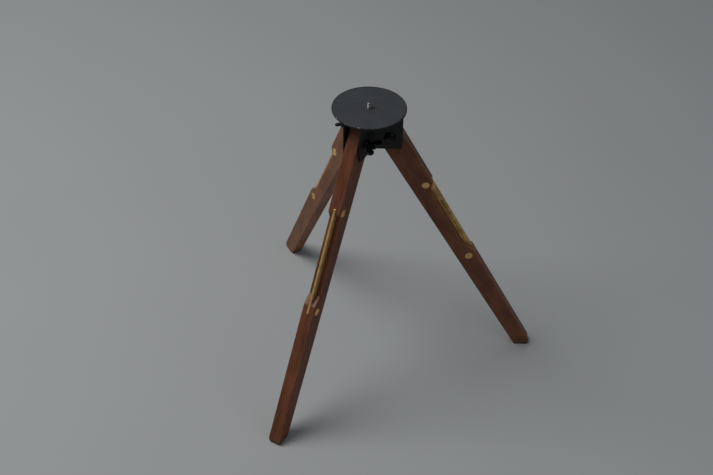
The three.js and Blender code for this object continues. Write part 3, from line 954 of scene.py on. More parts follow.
class Growth:
    """A geometry tree under construction, with named inputs and a finish."""

    def __init__(self, name: str, **inputs: tuple[str, Any]) -> None:
        """Starts a tree.

        Args:
            name: The tree's name.
            **inputs: Its inputs by name, each with its socket type and first value.
        """
        self.tree = bpy.data.node_groups.new(name, "GeometryNodeTree")
        face = self.tree.interface
        face.new_socket("Geometry", in_out="INPUT", socket_type="NodeSocketGeometry")
        for label, (kind, value) in {**inputs, "Finish": ("Material", None)}.items():
            socket = face.new_socket(label, in_out="INPUT", socket_type=f"NodeSocket{kind}")
            if value is not None:
                socket.default_value = value
        face.new_socket("Geometry", in_out="OUTPUT", socket_type="NodeSocketGeometry")
        self.bench = Bench(self.tree)
        self.given = self.bench.node("NodeGroupInput")

    def take(self, label: str) -> Amount:
        """One of the tree's inputs, for use in expressions and as a link."""
        return self.bench.amount(self.given, label)

    def closed(self, kind: str, sockets: dict[str, Any]) -> bpy.types.NodeTree:
        """Ends the tree with real geometry in its finish.

        Args:
            kind: The type of the node that makes the geometry.
            sockets: Values or links for that node's inputs.

        Returns:
            The tree.
        """
        geometry = self.bench.node(kind, {}, sockets).outputs[0]
        real = self.bench.node("GeometryNodeRealizeInstances", {}, {"Geometry": geometry})
        sockets = {"Geometry": real.outputs[0], "Material": self.take("Finish")}
        dressed = self.bench.node("GeometryNodeSetMaterial", {}, sockets)
        self.bench.node("NodeGroupOutput", {}, {0: dressed.outputs[0]})
        return self.tree


@cache
def thread_tree() -> bpy.types.NodeTree:
    """Cuts a helical thread into the finely ringed part of a turned rod.

    Returns:
        The tree, with inputs for the thread's size and for where it runs.
    """
    growth = Growth("screw_thread", Radius=("Float", 3.0), Pitch=("Float", 1.0),
                    Depth=("Float", 0.6), Start=("Float", 0.0), End=("Float", 10.0),
                    Runout=("Float", 1.0))
    bench, take = growth.bench, growth.take
    place = bench.node("GeometryNodeInputPosition").outputs[0]
    x, y, z = bench.split(place)
    radius = length_of(x, y)
    turn = y.worked("ARCTAN2", y, x) / (2 * math.pi)
    wave = ((z / take("Pitch") - turn).fraction() * 2.0 - 1.0).size()  # crest 0, root 1
    enters = ((z - take("Start")) / take("Runout")).between(0.0, 1.0)
    leaves = ((take("End") - z) / take("Runout")).between(0.0, 1.0)
    depth = wave.between(0.12, 0.92) * take("Depth") * enters * leaves
    shrink = (0.0 - depth) / radius
    return growth.closed("GeometryNodeSetPosition", {
        "Geometry": take("Geometry"),
        "Selection": radius > take("Radius") * 0.97,
        "Offset": bench.vector("MULTIPLY", place, bench.combined(shrink, shrink)),
    })


@cache
def rivet_tree() -> bpy.types.NodeTree:
    """Sets the same rivet at every point, each turned by chance.

    Returns:
        The tree, with inputs for the rivet and the chance's seed.
    """
    growth = Growth("rivet_row", Rivet=("Object", None), Seed=("Int", 7))
    bench, take = growth.bench, growth.take
    info = bench.node("GeometryNodeObjectInfo", {"transform_space": "ORIGINAL"},
                      {"Object": take("Rivet"), "As Instance": True})
    chance = bench.node("FunctionNodeRandomValue", {"data_type": "FLOAT"},
                        {2: 0.0, 3: 2 * math.pi, "Seed": take("Seed")})
    spin = bench.combined(0.0, chance.outputs[1])
    turn = bench.node("FunctionNodeEulerToRotation", {}, {0: spin})
    return growth.closed("GeometryNodeInstanceOnPoints", {
        "Points": take("Geometry"), "Instance": info.outputs["Geometry"],
        "Rotation": turn.outputs[0],
    })


@cache
def weld_tree() -> bpy.types.NodeTree:
    """Lays a rippled weld bead along a line of edges.

    Returns:
        The tree, with inputs for the bead's size, its ripples and the chance's seed.
    """
    growth = Growth("weld_bead", Radius=("Float", 1.2), Ripple=("Float", 1.6),
                    Relief=("Float", 0.14), Spacing=("Float", 0.3), Seed=("Float", 3.0))
    bench, take = growth.bench, growth.take
    path = bench.node("GeometryNodeMeshToCurve", {}, {"Mesh": take("Geometry")})
    fine = bench.node("GeometryNodeResampleCurve", {"mode": "LENGTH"},
                      {"Curve": path.outputs[0], "Length": take("Spacing")})
    spline = bench.node("GeometryNodeSplineParameter")
    along, share = bench.amount(spline, "Length"), bench.amount(spline, "Factor")
    crest = (along / take("Ripple") * math.pi).sine().size()
    wobble = bench.noise(bench.combined(along, take("Seed")), Noise(0.35, 2.0)) - 0.5
    ends = share.between(0.0, 0.03) * share.between(1.0, 0.97)
    ring = bench.node("GeometryNodeCurvePrimitiveCircle", {"mode": "RADIUS"},
                      {"Resolution": 12, "Radius": take("Radius")})
    return growth.closed("GeometryNodeCurveToMesh", {
        "Curve": fine.outputs[0], "Profile Curve": ring.outputs[0], "Fill Caps": True,
        "Scale": (1.0 + crest * take("Relief") + wobble * 0.3) * (0.35 + ends * 0.65),
    })


@cache
def tick_tree() -> bpy.types.NodeTree:
    """Makes a row of thin bars along Z, every fifth one longer, as a stamp for plain tick marks.

    Returns:
        The tree, with inputs for the row and the bars.
    """
    growth = Growth("tick_row", Count=("Int", 16), Step=("Float", 4.0),
                    Size=("Vector", (2.4, 1.0, 0.35)), Long=("Float", 1.7))
    bench, take = growth.bench, growth.take
    row = bench.node("GeometryNodeMeshLine", {"mode": "OFFSET"},
                     {"Count": take("Count"), "Offset": bench.combined(0.0, 0.0, take("Step"))})
    bar = bench.node("GeometryNodeMeshCube", {}, {"Size": take("Size")})
    index = bench.amount(bench.node("GeometryNodeInputIndex"))
    fifth = 1.0 - (index.worked("MODULO", index, 5.0) > 0.5)
    return growth.closed("GeometryNodeInstanceOnPoints", {
        "Points": row.outputs[0], "Instance": bar.outputs[0],
        "Scale": bench.combined(1.0 + fifth * (take("Long") - 1.0), 1.0, 1.0),
    })


# --- Head -----------------------------------------------------------------------------------------


def washer_mesh(name: str, inner: float, outer: float, thickness: float) -> bpy.types.Mesh:
    """A flat washer from z = 0 up, with softly stamped edges on its hole and its rim."""
    lower = [(inner, 0, 0.15), (outer, 0, 0.25)]
    upper = [(outer, thickness, 0.35), (inner, thickness, 0.2)]
    return turned(name, eased(lower + upper), 72)


@dataclass
class Head:
    """The round plate, the camera stud through it, and the stud's washer and lock nut."""

    disc_radius: float = 50.0
    disc_edge: float = 0.45
    disc_play: float = 0.12  # round the stud
    disc_rings: tuple[float, float] = (14.0, 32.0)  # radii where the flat faces are divided
    stud_diameter: float = 6.35
    stud_height: float = 8.0
    stud_tail: float = 2.0
    stud_pitch: float = 1.27
    stud_depth: float = 0.68
    stud_runout: float = 1.4
    stud_tip: float = 0.7
    lock_nut_flats: float = 11.1
    lock_nut_height: float = 5.5
    lock_nut_lead: float = 0.35  # chamfer of its bore
    lock_nut_slope: float = 30.0  # degrees, of its turned corners
    washer_diameter: float = 16.0
    washer_thickness: float = 1.6
    washer_play: float = 0.15
    washer_gap: float = 0.02  # over the washer and under it
    nut_lift: float = 0.2  # towards the washer
    gap: float = 0.3
    place: HeadPlace = field(default_factory=HeadPlace.packed)

    @property
    def thickness(self) -> float:
        """The disc's thickness."""
        return (self.place.top - self.place.underside) / MM

    @property
    def nut_foot(self) -> float:
        """The lock nut's lower end."""
        return -2 * self.gap - self.washer_thickness - self.lock_nut_height

    def disc(self) -> bpy.types.Mesh:
        """The round plate, from its underside up."""
        edge, top, (near, far) = self.disc_edge, self.thickness, self.disc_rings
        hole, radius = self.stud_diameter / 2 + self.disc_play, self.disc_radius
        corners = [(hole, 0, 0.2), (radius, 0, edge), (radius, top, edge), (hole, top, 0.2)]
        rim = radius - edge - 0.02
        profile = [(r, z, 1.0 if r > rim else mark) for r, z, mark in eased(corners)]
        first = next(i for i, (r, _, _) in enumerate(profile) if r > far)
        last = next(i for i, (r, _, _) in enumerate(profile) if i > first and r < far)
        profile[last:last] = [(far, top, 0.0), (near, top, 0.0)]
        profile[first:first] = [(near, 0.0, 0.0), (far, 0.0, 0.0)]
        return turned("disc", profile, 160)

    def stud(self, material: bpy.types.Material) -> bpy.types.Mesh:
        """The threaded stud.

        Args:
            material: Its finish.

        Returns:
            The stud, with the disc's underside at z = 0.
        """
        radius, tip = self.stud_diameter / 2, self.stud_tip
        foot, top = self.nut_foot - self.stud_tail, self.thickness + self.stud_height
        profile = [(0.0, foot, 0.0), (radius - tip - 0.25, foot, 0.0),
                   (radius - tip, foot + 0.08, 0.0),
                   *ringed(radius, foot + tip, top - tip, self.stud_pitch / 8),
                   (radius - tip, top - 0.1, 0.0), (radius - tip - 0.3, top, 0.0), (0.0, top, 0.0)]
        return smoothed(grown(
            turned("stud", profile, 36), thread_tree(), radius=radius, pitch=self.stud_pitch,
            depth=self.stud_depth, start=foot, end=top, runout=self.stud_runout, finish=material,
        ), 50)

    def lock_nut(self) -> bpy.types.Mesh:
        """The hexagonal nut, with its corners turned off at both ends."""
        flats, height, lead = self.lock_nut_flats / 2, self.lock_nut_height, self.lock_nut_lead
        bore, face, steps = self.stud_diameter / 2 + PLAY, flats * 0.97, 72
        slope = math.tan(math.radians(self.lock_nut_slope))
        rings = []
        for step in range(steps):
            angle = 2 * math.pi * step / steps
            share = (angle + math.pi / 6) % (math.pi / 3) - math.pi / 6  # from the nearest flat
            rim = flats / math.cos(share)
            fall = max(0.0, rim - face) * slope
            column = [(bore, lead, 0), (bore + lead, 0, 1), (face, 0, 0), (rim, fall, 0.6),
                      (rim, height - fall, 0.6), (face, height, 0), (bore + lead, height, 1),
                      (bore, height - lead, 0)]
            rings.append([(r * math.cos(angle), r * math.sin(angle), z, edge)
                          for r, z, edge in column])
        return skinned("lock_nut", rings, True, 25)

    def build(self) -> None:
        """Makes and dresses the head's own pieces."""
        under = self.place.upright(self.place.underside)
        bright, black = BRIGHT_STEEL.material(under), BLACK_OXIDE.material(under, "head")
        washer_height = self.washer_thickness + self.gap - 2 * self.washer_gap
        washer = washer_mesh("stud_ring", self.stud_diameter / 2 + self.washer_play,
                             self.washer_diameter / 2, washer_height)
        moved(washer, by(0, 0, -self.washer_gap - washer_height))
        nut = moved(self.lock_nut(), by(0, 0, self.nut_foot + self.nut_lift))
        for name, mesh, finish, slot, node in (
            ("head_plate", self.disc(), DISC_PAINT.material(under), Slot.DISC, "head_disc"),
            ("threaded_stud", self.stud(bright), bright, Slot.STUD, "camera_stud"),
            ("stud_ring", washer, black, Slot.WASHER, "stud_washer"),
            ("stud_hex_nut", nut, black, Slot.BOLT, "stud_lock_nut"),
        ):
            add_piece(name, mesh, under, finish, "head", slot, node)


@dataclass
class Bracket:
    """A bent steel sheet between two legs, welded to the underside of the head."""

    number: int
    thickness: float = 2.0
    height: float = 55.5
    reach: float = 45.8
    corner: float = 1.5
    top_corner: float = 0.4
    inside_bend: float = 3.0
    bend_facets: int = 16
    inside: float = 11.3  # from a leg's mid-plane to the wing beside it
    bolt_hole: float = 6.3
    rounding: float = 0.35
    gap: float = 0.3
    bead_radius: float = 1.05
    bead_inset: float = 2.5  # from the ends of the sheet
    bead_drop: float = 0.25
    place: HeadPlace = field(default_factory=HeadPlace.packed)

    @property
    def bend_radius(self) -> float:
        """The bend's radius in the middle of the sheet."""
        return self.inside_bend + self.thickness / 2

    @property
    def bend_centre(self) -> float:
        """The bend's centre, out from the head's axis."""
        return (self.inside + self.thickness + self.inside_bend) / math.sin(HALF_TURN)

    @property
    def bend_half(self) -> float:
        """Half the bend's length on the flat sheet."""
        return self.bend_radius * (math.pi / 2 - HALF_TURN)

    def on_sheet(self, along_leg: float) -> float:
        """Where a distance out along a leg falls on the flat sheet."""
        return self.bend_half + along_leg - self.bend_centre * math.cos(HALF_TURN)

    def bent(self, point: Vector) -> Vector:
        """Bends one point of the flat sheet.

        Args:
            point: x along the sheet, y through it towards the leg, z up.

        Returns:
            Its place in the bracket's frame.
        """
        radius, along = self.bend_radius + point.y, abs(point.x)
        angle = min(along, self.bend_half) / self.bend_radius
        past = max(0.0, along - self.bend_half)
        x = self.bend_centre - radius * math.cos(angle) + past * math.cos(HALF_TURN)
        y = radius * math.sin(angle) + past * math.sin(HALF_TURN)
        return Vector((x, -y if point.x < 0 else y, point.z))

    def sheet(self, hinge_height: float, hinge_radius: float) -> bpy.types.Mesh:
        """The bent sheet.

        Args:
            hinge_height: The bolt's height from the top of the sheet, below zero.
            hinge_radius: The bolt's distance from the head's axis.

        Returns:
            The sheet, with its top at z = 0.
        """
        end, foot = self.on_sheet(self.reach), -self.height - self.gap
        corners = [(-end, foot, self.corner), (end, foot, self.corner),
                   (end, 0, self.top_corner), (-end, 0, self.top_corner)]
        flat = prism("sheet", eased(corners, steps=8), -self.thickness / 2, self.thickness / 2,
                     self.rounding)
        hole_x, deep, half = self.on_sheet(hinge_radius), self.thickness / 2 + 2, self.bolt_hole / 2
        drill = turned("drill", cylinder_profile(half, -deep, deep), 48)
        punch = prism("punch", eased(oblong(-half, -half, half, half, 0.4)), -deep, deep, 0.01, 1)
        flat = cut(flat, moved(drill, by(-hole_x, hinge_height, 0)),
                   moved(punch, by(hole_x, hinge_height, 0)))
        # x stays along the sheet, the outline's height becomes z, and the thickness becomes y.
        moved(flat, Matrix(((1, 0, 0, 0), (0, 0, 1, 0), (0, 1, 0, 0), (0, 0, 0, 1))))
        facets = self.bend_facets // 2
        sliced(flat, Vector((1, 0, 0)),
               [self.bend_half * step / facets for step in range(-facets, facets + 1)])
        bm = bmesh.new()
        bm.from_mesh(flat)
        for vert in bm.verts:
            vert.co = self.bent(vert.co)
        return finished_mesh("bent_sheet", bm)

    def weld(self, material: bpy.types.Material) -> bpy.types.Mesh:
        """The weld bead in the corner of the sheet and the head's underside.

        Args:
            material: Its finish.

        Returns:
            The bead.
        """
        end, steps = self.on_sheet(self.reach) - self.bead_inset, 120
        line = [self.bent(Vector((-end + 2 * end * step / steps, -self.thickness / 2,
                                  -self.bead_drop))) for step in range(steps + 1)]
        mesh = bpy.data.meshes.new("bead")
        mesh.from_pydata([tuple(p) for p in line], [(i, i + 1) for i in range(steps)], [])
        return smoothed(grown(mesh, weld_tree(), radius=self.bead_radius, ripple=1.7, relief=0.13,
                              spacing=0.28, seed=float(self.number), finish=material), 60)

    def build(self) -> None:
        """Makes and dresses the bracket and its weld. The wing at -x is beside its own leg."""
        number, hinge = self.number, HingePlace.packed(self.number)
        place = self.place.upright(self.place.underside, (2 * number - 1) * HALF_TURN)
        drop = (hinge.origin.z - self.place.underside) / MM
        # The bracket paint is darkened as painted shade from the disc above.
        paint = SHADED_BRACKET_PAINT.material(place, str(number))
        add_piece(f"bracket_sheet_{number}", self.sheet(drop, hinge.radius), place, paint, "head",
                  Slot.BRACKET, f"bracket_{number}")
        add_piece(f"bracket_weld_{number}", self.weld(paint), place, paint, "head", Slot.BRACKET)


# --- Hinges ---------------------------------------------------------------------------------------


@dataclass
class HingeSet:
    """A carriage bolt through two brackets and a leg, with spacers, a washer and a wing nut."""

    number: int
    leg_width: float = 18.0
    gap: float = 0.3
    spacer_diameter: float = 18.0
    spacer_thickness: float = 1.7
    bracket_thickness: float = 2.0
    washer_diameter: float = 12.5
    washer_thickness: float = 1.6
    washer_play: float = 0.2
    bolt_diameter: float = 6.0
    bolt_pitch: float = 1.0
    bolt_thread_depth: float = 0.58
    bolt_thread_length: float = 18.0
    bolt_tip: float = 0.6
    bolt_tail: float = 4.5
    head_diameter: float = 16.5
    head_height: float = 4.0
    head_rim: float = 0.55  # height of the head's upright rim
    neck_corner: float = 0.5
    nut_base: float = 12.0
    nut_top: float = 9.0
    nut_height: float = 7.0
    nut_play: float = 0.06
    nut_voxel: float = 0.3
    root_width: float = 4.2  # where a wing's root leaves the nut's axis
    wing_span: float = 32.0
    wing_height: float = 15.0
    wing_thickness: float = 3.0
    wing_lobe: float = 5.0
    wing_lobe_arc: tuple[float, float] = (-45.0, 162.0)  # degrees, from the lower edge to the upper
    wing_angles: tuple[float, ...] = (20.0, -22.0, -6.0)  # degrees, the outward wing of each nut

    @property
    def bracket_inside(self) -> float:
        """Where a wing of a bracket starts, from the leg's mid-plane."""
        return self.leg_width / 2 + 2 * self.gap + self.spacer_thickness

    @property
    def bracket_outside(self) -> float:
        """Where it ends."""
        return self.bracket_inside + self.bracket_thickness

    @property
    def nut_face(self) -> float:
        """Where the wing nut starts."""
        return self.bracket_outside + 2 * self.gap + self.washer_thickness

    def bolt(self, material: bpy.types.Material) -> bpy.types.Mesh:
        """The carriage bolt, along z.

        Args:
            material: Its finish.

        Returns:
            The bolt, with its head on the -z side.
        """
        head, rise, radius = self.head_diameter / 2, self.head_height, self.bolt_diameter / 2
        seat = -self.bracket_outside - TOUCH
        rim, top = seat - self.head_rim, seat - self.gap - rise
        sphere = (head ** 2 + rise ** 2) / (2 * rise)
        widest, facets = math.asin(head / sphere) * 0.97, 14
        dome = [widest * step / facets for step in range(facets + 1)]
        end = self.nut_face + self.nut_height + self.bolt_tail
        start, shoulder = end - self.bolt_thread_length, radius - self.bolt_tip
        profile = [
            *((sphere * math.sin(a), top + sphere * (1 - math.cos(a)), 0.0) for a in dome),
            (head - 0.12, rim - 0.28, 0.6), (head, rim, 1.0), (head - 0.1, seat - 0.12, 1.0),
            (head - 0.35, seat, 0.0), (radius, seat, 0.0),
            *ringed(radius, seat + 0.5, start, 3.0),
            *ringed(radius, start + 0.1, end - self.bolt_tip, self.bolt_pitch / 8),
            (shoulder, end - 0.08, 0.0), (shoulder - 0.25, end, 0.0), (0.0, end, 0.0),
        ]
        rod = smoothed(grown(
            turned("bolt_rod", profile, 36), thread_tree(), radius=radius, pitch=self.bolt_pitch,
            depth=self.bolt_thread_depth, start=start, end=end, runout=1.0, finish=material,
        ), 50)
        square = eased(oblong(-radius, -radius, radius, radius, self.neck_corner))
        return joined("bolt", rod, prism("neck", square, seat - 0.3, -self.bracket_inside, 0.3, 2))

    def spacers(self) -> bpy.types.Mesh:
        """The two spacers that fill the room between the leg and the brackets."""
        thickness = self.spacer_thickness + 2 * self.gap - 2 * TOUCH
        start = self.leg_width / 2 + TOUCH
        return joined("spacers", *[
            moved(washer_mesh("spacer", self.bolt_diameter / 2 + PLAY, self.spacer_diameter / 2,
                              thickness), by(0, 0, foot)) for foot in (start, -start - thickness)
        ])

    def washer(self) -> bpy.types.Mesh:
        """The washer under the wing nut."""
        ring = washer_mesh("ring", self.bolt_diameter / 2 + self.washer_play,
                           self.washer_diameter / 2, self.washer_thickness + 2 * (self.gap - TOUCH))
        return moved(ring, by(0, 0, self.bracket_outside + TOUCH))

    def wing_nut(self) -> bpy.types.Mesh:
        """The cast wing nut, whose metal flows from the body into the wings."""
        base, top, height = self.nut_base / 2, self.nut_top / 2, self.nut_height
        lobe, half, wide = self.wing_lobe, self.wing_thickness / 2, self.root_width / 2
        body = turned("nut_body", [
            (0.0, 0.0, 0.0), (base - 0.2, 0.0, 0.0), (base, 0.6, 0.0), (base - 0.25, 1.6, 0.0),
            (top, height - 0.5, 0.0), (top - 0.4, height, 0.0), (0.0, height, 0.0),
        ], 48)
        blade = [
            (1.0, 1.2, 0.0), (base - 0.2, 1.0, 0.0), (base + 1.4, 2.5, 0.0),
            *arc(self.wing_span / 2 - lobe, self.wing_height - lobe, lobe,
                 *map(math.radians, self.wing_lobe_arc), 18),
            (top + 0.9, height - 0.4, 0.0), (1.0, height - 1.2, 0.0),
        ]
        wedge = [(1.0, -wide, 0.0), (base + 0.5, -half, 0.0), (base + 0.5, half, 0.0),
                 (1.0, wide, 0.0)]
        halves = [moved(prism("wing", blade, -half, half, 0.5, 2), TIPPED),
                  prism("root", wedge, 1.0, height - 1.0, 0.4, 2)]
        halves += [moved(part.copy(), Matrix.Rotation(math.pi, 4, "Z")) for part in halves]
        cast = evaluated(joined("rough_nut", body, *halves),
                         ("REMESH", {"mode": "VOXEL", "voxel_size": self.nut_voxel}),
                         ("SMOOTH", {"factor": 0.5, "iterations": 6}))
        bore = cylinder_profile(self.bolt_diameter / 2 + self.nut_play, -2, height + 8)
        nut = cut(cast, turned("bore", bore, 40), sharp=50)
        wear = nut.attributes.get(EDGE) or nut.attributes.new(EDGE, "FLOAT", "POINT")
        for vertex, value in zip(nut.vertices, wear.data):
            out, high = abs(vertex.co.x) / (self.wing_span / 2), vertex.co.z / self.wing_height
            value.value = max(0.0, min(1.0, (out * 0.6 + high * 0.6 - 0.75) * 3))
        return nut

    def build(self) -> None:
        """Makes and dresses what is on the hinge."""
        number, label = self.number, str(self.number)
        place = HingePlace.packed(number).bolt()
        black, nylon = BLACK_OXIDE.material(place, label), NYLON.material(place, label)
        turn = Matrix.Rotation(-math.radians(self.wing_angles[number - 1]), 4, "Z")
        nut = moved(self.wing_nut(), by(0, 0, self.nut_face) @ turn)
        add_piece(f"carriage_bolt_{number}", self.bolt(black), place, black, "head", Slot.BOLT,
                  f"hinge_bolt_{number}")
        add_piece(f"hinge_spacers_{number}", self.spacers(), place, nylon, "head", Slot.SPACER,
                  f"head_side_spacer_{number}", f"nut_side_spacer_{number}")
        add_piece(f"bolt_washer_{number}", self.washer(), place, black, "head", Slot.WASHER,
                  f"nut_washer_{number}")
        add_piece(f"cast_wing_nut_{number}", nut, place, black, f"nut_{number}", Slot.WING_NUT,
                  f"wing_nut_{number}")


# --- Legs -----------------------------------------------------------------------------------------


@dataclass
class TickRow:
    """The row of plain tick marks that is stamped in a brass plate."""

    count: int = 18
    step: float = 3.6
    size: Triple = (2.6, 1.0, 1.4)
    longer: float = 1.5  # every fifth mark
    depth: float = 0.25
    inset: float = 4.2  # from the plate's outer edge
    foot: float = 99.5  # below the notch's upper end

    def stamped(self, plate: bpy.types.Mesh, side: float, face: float, notch_top: float,
                finish: bpy.types.Material) -> bpy.types.Mesh:
        """Stamps the row in a plate.

        Args:
            plate: The plate, in the leg's frame.
            side: How far its two sides are from its middle.
            face: Its outer edge's x.
            notch_top: How far the notch starts below the hinge.
            finish: The plate's finish.

        Returns:
            The plate, with its marks as the lowest value of the edge attribute.
        """
        stamp = grown(bpy.data.meshes.new("ticks"), tick_tree(), count=self.count, step=self.step,
                      size=self.size, long=self.longer, finish=finish)
        across = face - self.inset
        moved(stamp, by(across, self.depth - side - self.size[1] / 2, -notch_top - self.foot))
        made = cut(plate, stamp)
        for vertex, value in zip(made.vertices, made.attributes[EDGE].data):
            if (abs(vertex.co.y + side - self.depth) < 0.01
                    and abs(vertex.co.x - across) < self.size[0]):
                value.value = -1.0
        return made


@dataclass
class Leg:
    """A tapered walnut bar with a notch, a brass plate across it, two rivets and a foot pad."""

    number: int
    width: float = 18.0
    depth_at_hinge: float = 33.7
    depth_at_foot: float = 22.6
    hinge_to_toe: float = 451.0
    end_radius: float = 34.0
    top_gap: float = 0.6
    toe_setback: float = 4.3
    heel_corner: float = 2.0
    pad_thickness: float = 1.5
    pad_inset: float = 0.4
    pad_corner: float = 1.5
    gap: float = 0.3
    notch_top: float = 100.0
    notch_upper_ramp: float = 9.0
    notch_floor: float = 111.0
    notch_lower_ramp: float = 15.5
    notch_depth: float = 8.5
    notch_corner: float = 0.5
    upper_rivet_drop: float = 98.7
    rivet_spacing: float = 145.0
    rivet_setback: float = 10.5
    rivet_shank: float = 5.0
    rivet_head: float = 9.4
    rivet_head_thickness: float = 2.2
    rivet_play: float = 0.05
    rivet_lip: float = 0.12  # chamfer of its counterbore
    plate_thickness: float = 3.0
    plate_depth: float = 16.0
    plate_margin: float = 4.5
    plate_corner: float = 1.0
    plate_play: float = 0.06
    bolt_diameter: float = 6.0
    softening: float = 1.0  # of the bar's long edges
    marked_plate: int = 1  # the leg whose plate has a row of tick marks

    def __post_init__(self) -> None:
        """Finds the leg's hinge."""
        self.hinge = HingePlace.packed(self.number)

    @property
    def face(self) -> float:
        """The outer face's x."""
        return self.depth_at_hinge / 2

    @property
    def taper(self) -> float:
        """How fast the inner face nears the outer one."""
        return (self.depth_at_hinge - self.depth_at_foot) / self.hinge_to_toe

    @property
    def rivet_drops(self) -> tuple[float, float]:
        """How far the two rivets are below the hinge."""
        return self.upper_rivet_drop, self.upper_rivet_drop + self.rivet_spacing

    @property
    def rivet_x(self) -> float:
        """The rivets' x."""
        return self.face - self.rivet_setback

    @property
    def plate_span(self) -> tuple[float, float]:
        """The plate's two ends, in the leg's z."""
        upper, lower = self.rivet_drops
        return -lower - self.plate_margin, -upper + self.plate_margin

    @property
    def toe_radius(self) -> float:
        """The toe's distance from the head's axis."""
        splay = self.hinge.splay
        reach = self.face * math.cos(splay) + self.hinge_to_toe * math.sin(splay)
        return self.hinge.radius + reach - self.toe_setback

    @property
    def sole(self) -> float:
        """The wood's height above the floor."""
        return self.pad_thickness + self.gap

    @property
    def toe_and_heel(self) -> tuple[Vector, Vector]:
        """The two ends of the wood's sole, in the leg's x and z."""
        splay, toe = self.hinge.splay, self.in_leg(self.toe_radius, self.sole)
        return toe, self.on_inner_face(toe, Vector((math.cos(splay), -math.sin(splay))))

    def in_leg(self, radius: float, height: float) -> Vector:
        """A place given by distance from the head's axis and height, in the leg's x and z."""
        cos, sin = math.cos(self.hinge.splay), math.sin(self.hinge.splay)
        out, up = radius - self.hinge.radius, height - self.hinge.origin.z / MM
        return Vector((out * cos + up * sin, up * cos - out * sin))

    def on_inner_face(self, point: Vector, direction: Vector) -> Vector:
        """Where a line from a point meets the tapered inner face, in the leg's x and z."""
        over = self.face - self.depth_at_hinge - self.taper * point.y - point.x
        return point + direction * (over / (direction.x + self.taper * direction.y))

    def outline(self) -> Outline:
        """The bar's side view, in the leg's x and z, anticlockwise, its lower sawn ramp marked -1;
        the upper ramp, sawn alike, is left unmarked and keeps the darker colour as painted shade.
        """
        splay, face = self.hinge.splay, self.face
        upright = Vector((math.sin(splay), math.cos(splay)))
        top_radius = (self.width / 2 / math.tan(HALF_TURN)
                      + self.top_gap / 2 / math.sin(HALF_TURN))
        toe, heel = self.toe_and_heel
        bevel_foot = self.on_inner_face(self.in_leg(top_radius, self.hinge.origin.z / MM), upright)
        bevel_top = math.acos((top_radius - self.hinge.radius) / self.end_radius) - splay
        floor, floor_start = face - self.notch_depth, -self.notch_top - self.notch_upper_ramp
        floor_end = floor_start - self.notch_floor
        ramp_end = floor_end - self.notch_lower_ramp
        soft = self.softening + 2 * SUPPORT  # an outline's own corners stay wider than its rims
        crown = arc(0, 0, self.end_radius, math.acos(face / self.end_radius), bevel_top, 40)
        corners = [
            (*toe, soft),
            (face, toe.y + (face - toe.x) / math.tan(splay), soft),
            (face, ramp_end, soft),
            (floor, floor_end, self.notch_corner),
            (floor, floor_start, self.notch_corner),
            (face, -self.notch_top, soft),
            (*crown[0][:2], soft),
            *crown[4:-4],
            (*crown[-1][:2], soft),
            (*bevel_foot, self.heel_corner),
            (*heel, soft),
        ]
        # Only the lower ramp is marked as sawn; leaving out the upper ramp paints shade on it.
        return [(x, z, -1.0 if not edge and floor + 0.05 < x < face - 0.02
                 and ramp_end <= z <= floor_end + 1 else edge) for x, z, edge in eased(corners)]

    def bar(self) -> bpy.types.Mesh:
        """The walnut bar, with its holes and the kerf."""
        half, (upper, lower), (low, high) = self.width / 2, self.rivet_drops, self.plate_span
        bar = moved(prism("bar", self.outline(), -half, half, self.softening, 5), TIPPED)
        beside = [drop + step for drop in (0.0, upper, lower) for step in (-12.0, 12.0)]
        middles = [(lower + self.hinge_to_toe) / 2, (upper + lower) / 2, upper / 2]
        sliced(bar, -UP, beside + middles)
        bore = cylinder_profile(self.bolt_diameter / 2 + PLAY, -half - 6, half + 6)
        wide = self.plate_thickness / 2 + self.plate_play
        kerf = oblong(self.face - self.plate_depth - PLAY, low - PLAY, self.face + 3, high + PLAY)
        cutters = [moved(turned("hinge_hole", bore, 48), TIPPED),
                   moved(prism("saw", kerf, -wide, wide, 0.01, 1), TIPPED)]
        head, shank = self.rivet_head / 2 + self.rivet_play, self.rivet_shank / 2 + self.rivet_play
        sink, lip = half - self.rivet_head_thickness - self.rivet_play, self.rivet_lip
        side = [(shank, sink, 0.0), (head, sink, 0.0), (head, half - lip, 0.0),
                (head + lip, half, 0.0), (head + lip + 0.9, half + 1, 0.0), (0.0, half + 1, 0.0)]
        profile = [(r, -z, edge) for r, z, edge in reversed(side)] + side
        for drop in self.rivet_drops:
            place = by(self.rivet_x, 0, -drop) @ TIPPED
            cutters.append(moved(turned("counterbore", profile, 48), place))
        return cut(bar, *cutters)

    def plate(self, material: bpy.types.Material) -> bpy.types.Mesh:
        """The brass plate, with the rivets' holes and, on one leg, a row of tick marks.

        Args:
            material: Its finish.

        Returns:
            The plate.
        """
        (low, high), half = self.plate_span, self.plate_thickness / 2
        outline = oblong(self.face - self.plate_depth, low, self.face, high, self.plate_corner)
        profile = cylinder_profile(self.rivet_shank / 2 + self.rivet_play, -4, 4)
        drills = [moved(turned("plate_hole", profile, 40), by(self.rivet_x, -drop, 0))
                  for drop in self.rivet_drops]
        plate = moved(cut(prism("plate", eased(outline), -half, half, 0.22, 3), *drills), TIPPED)
        if self.number != self.marked_plate:
            return plate
        return TickRow().stamped(plate, half, self.face, self.notch_top, material)

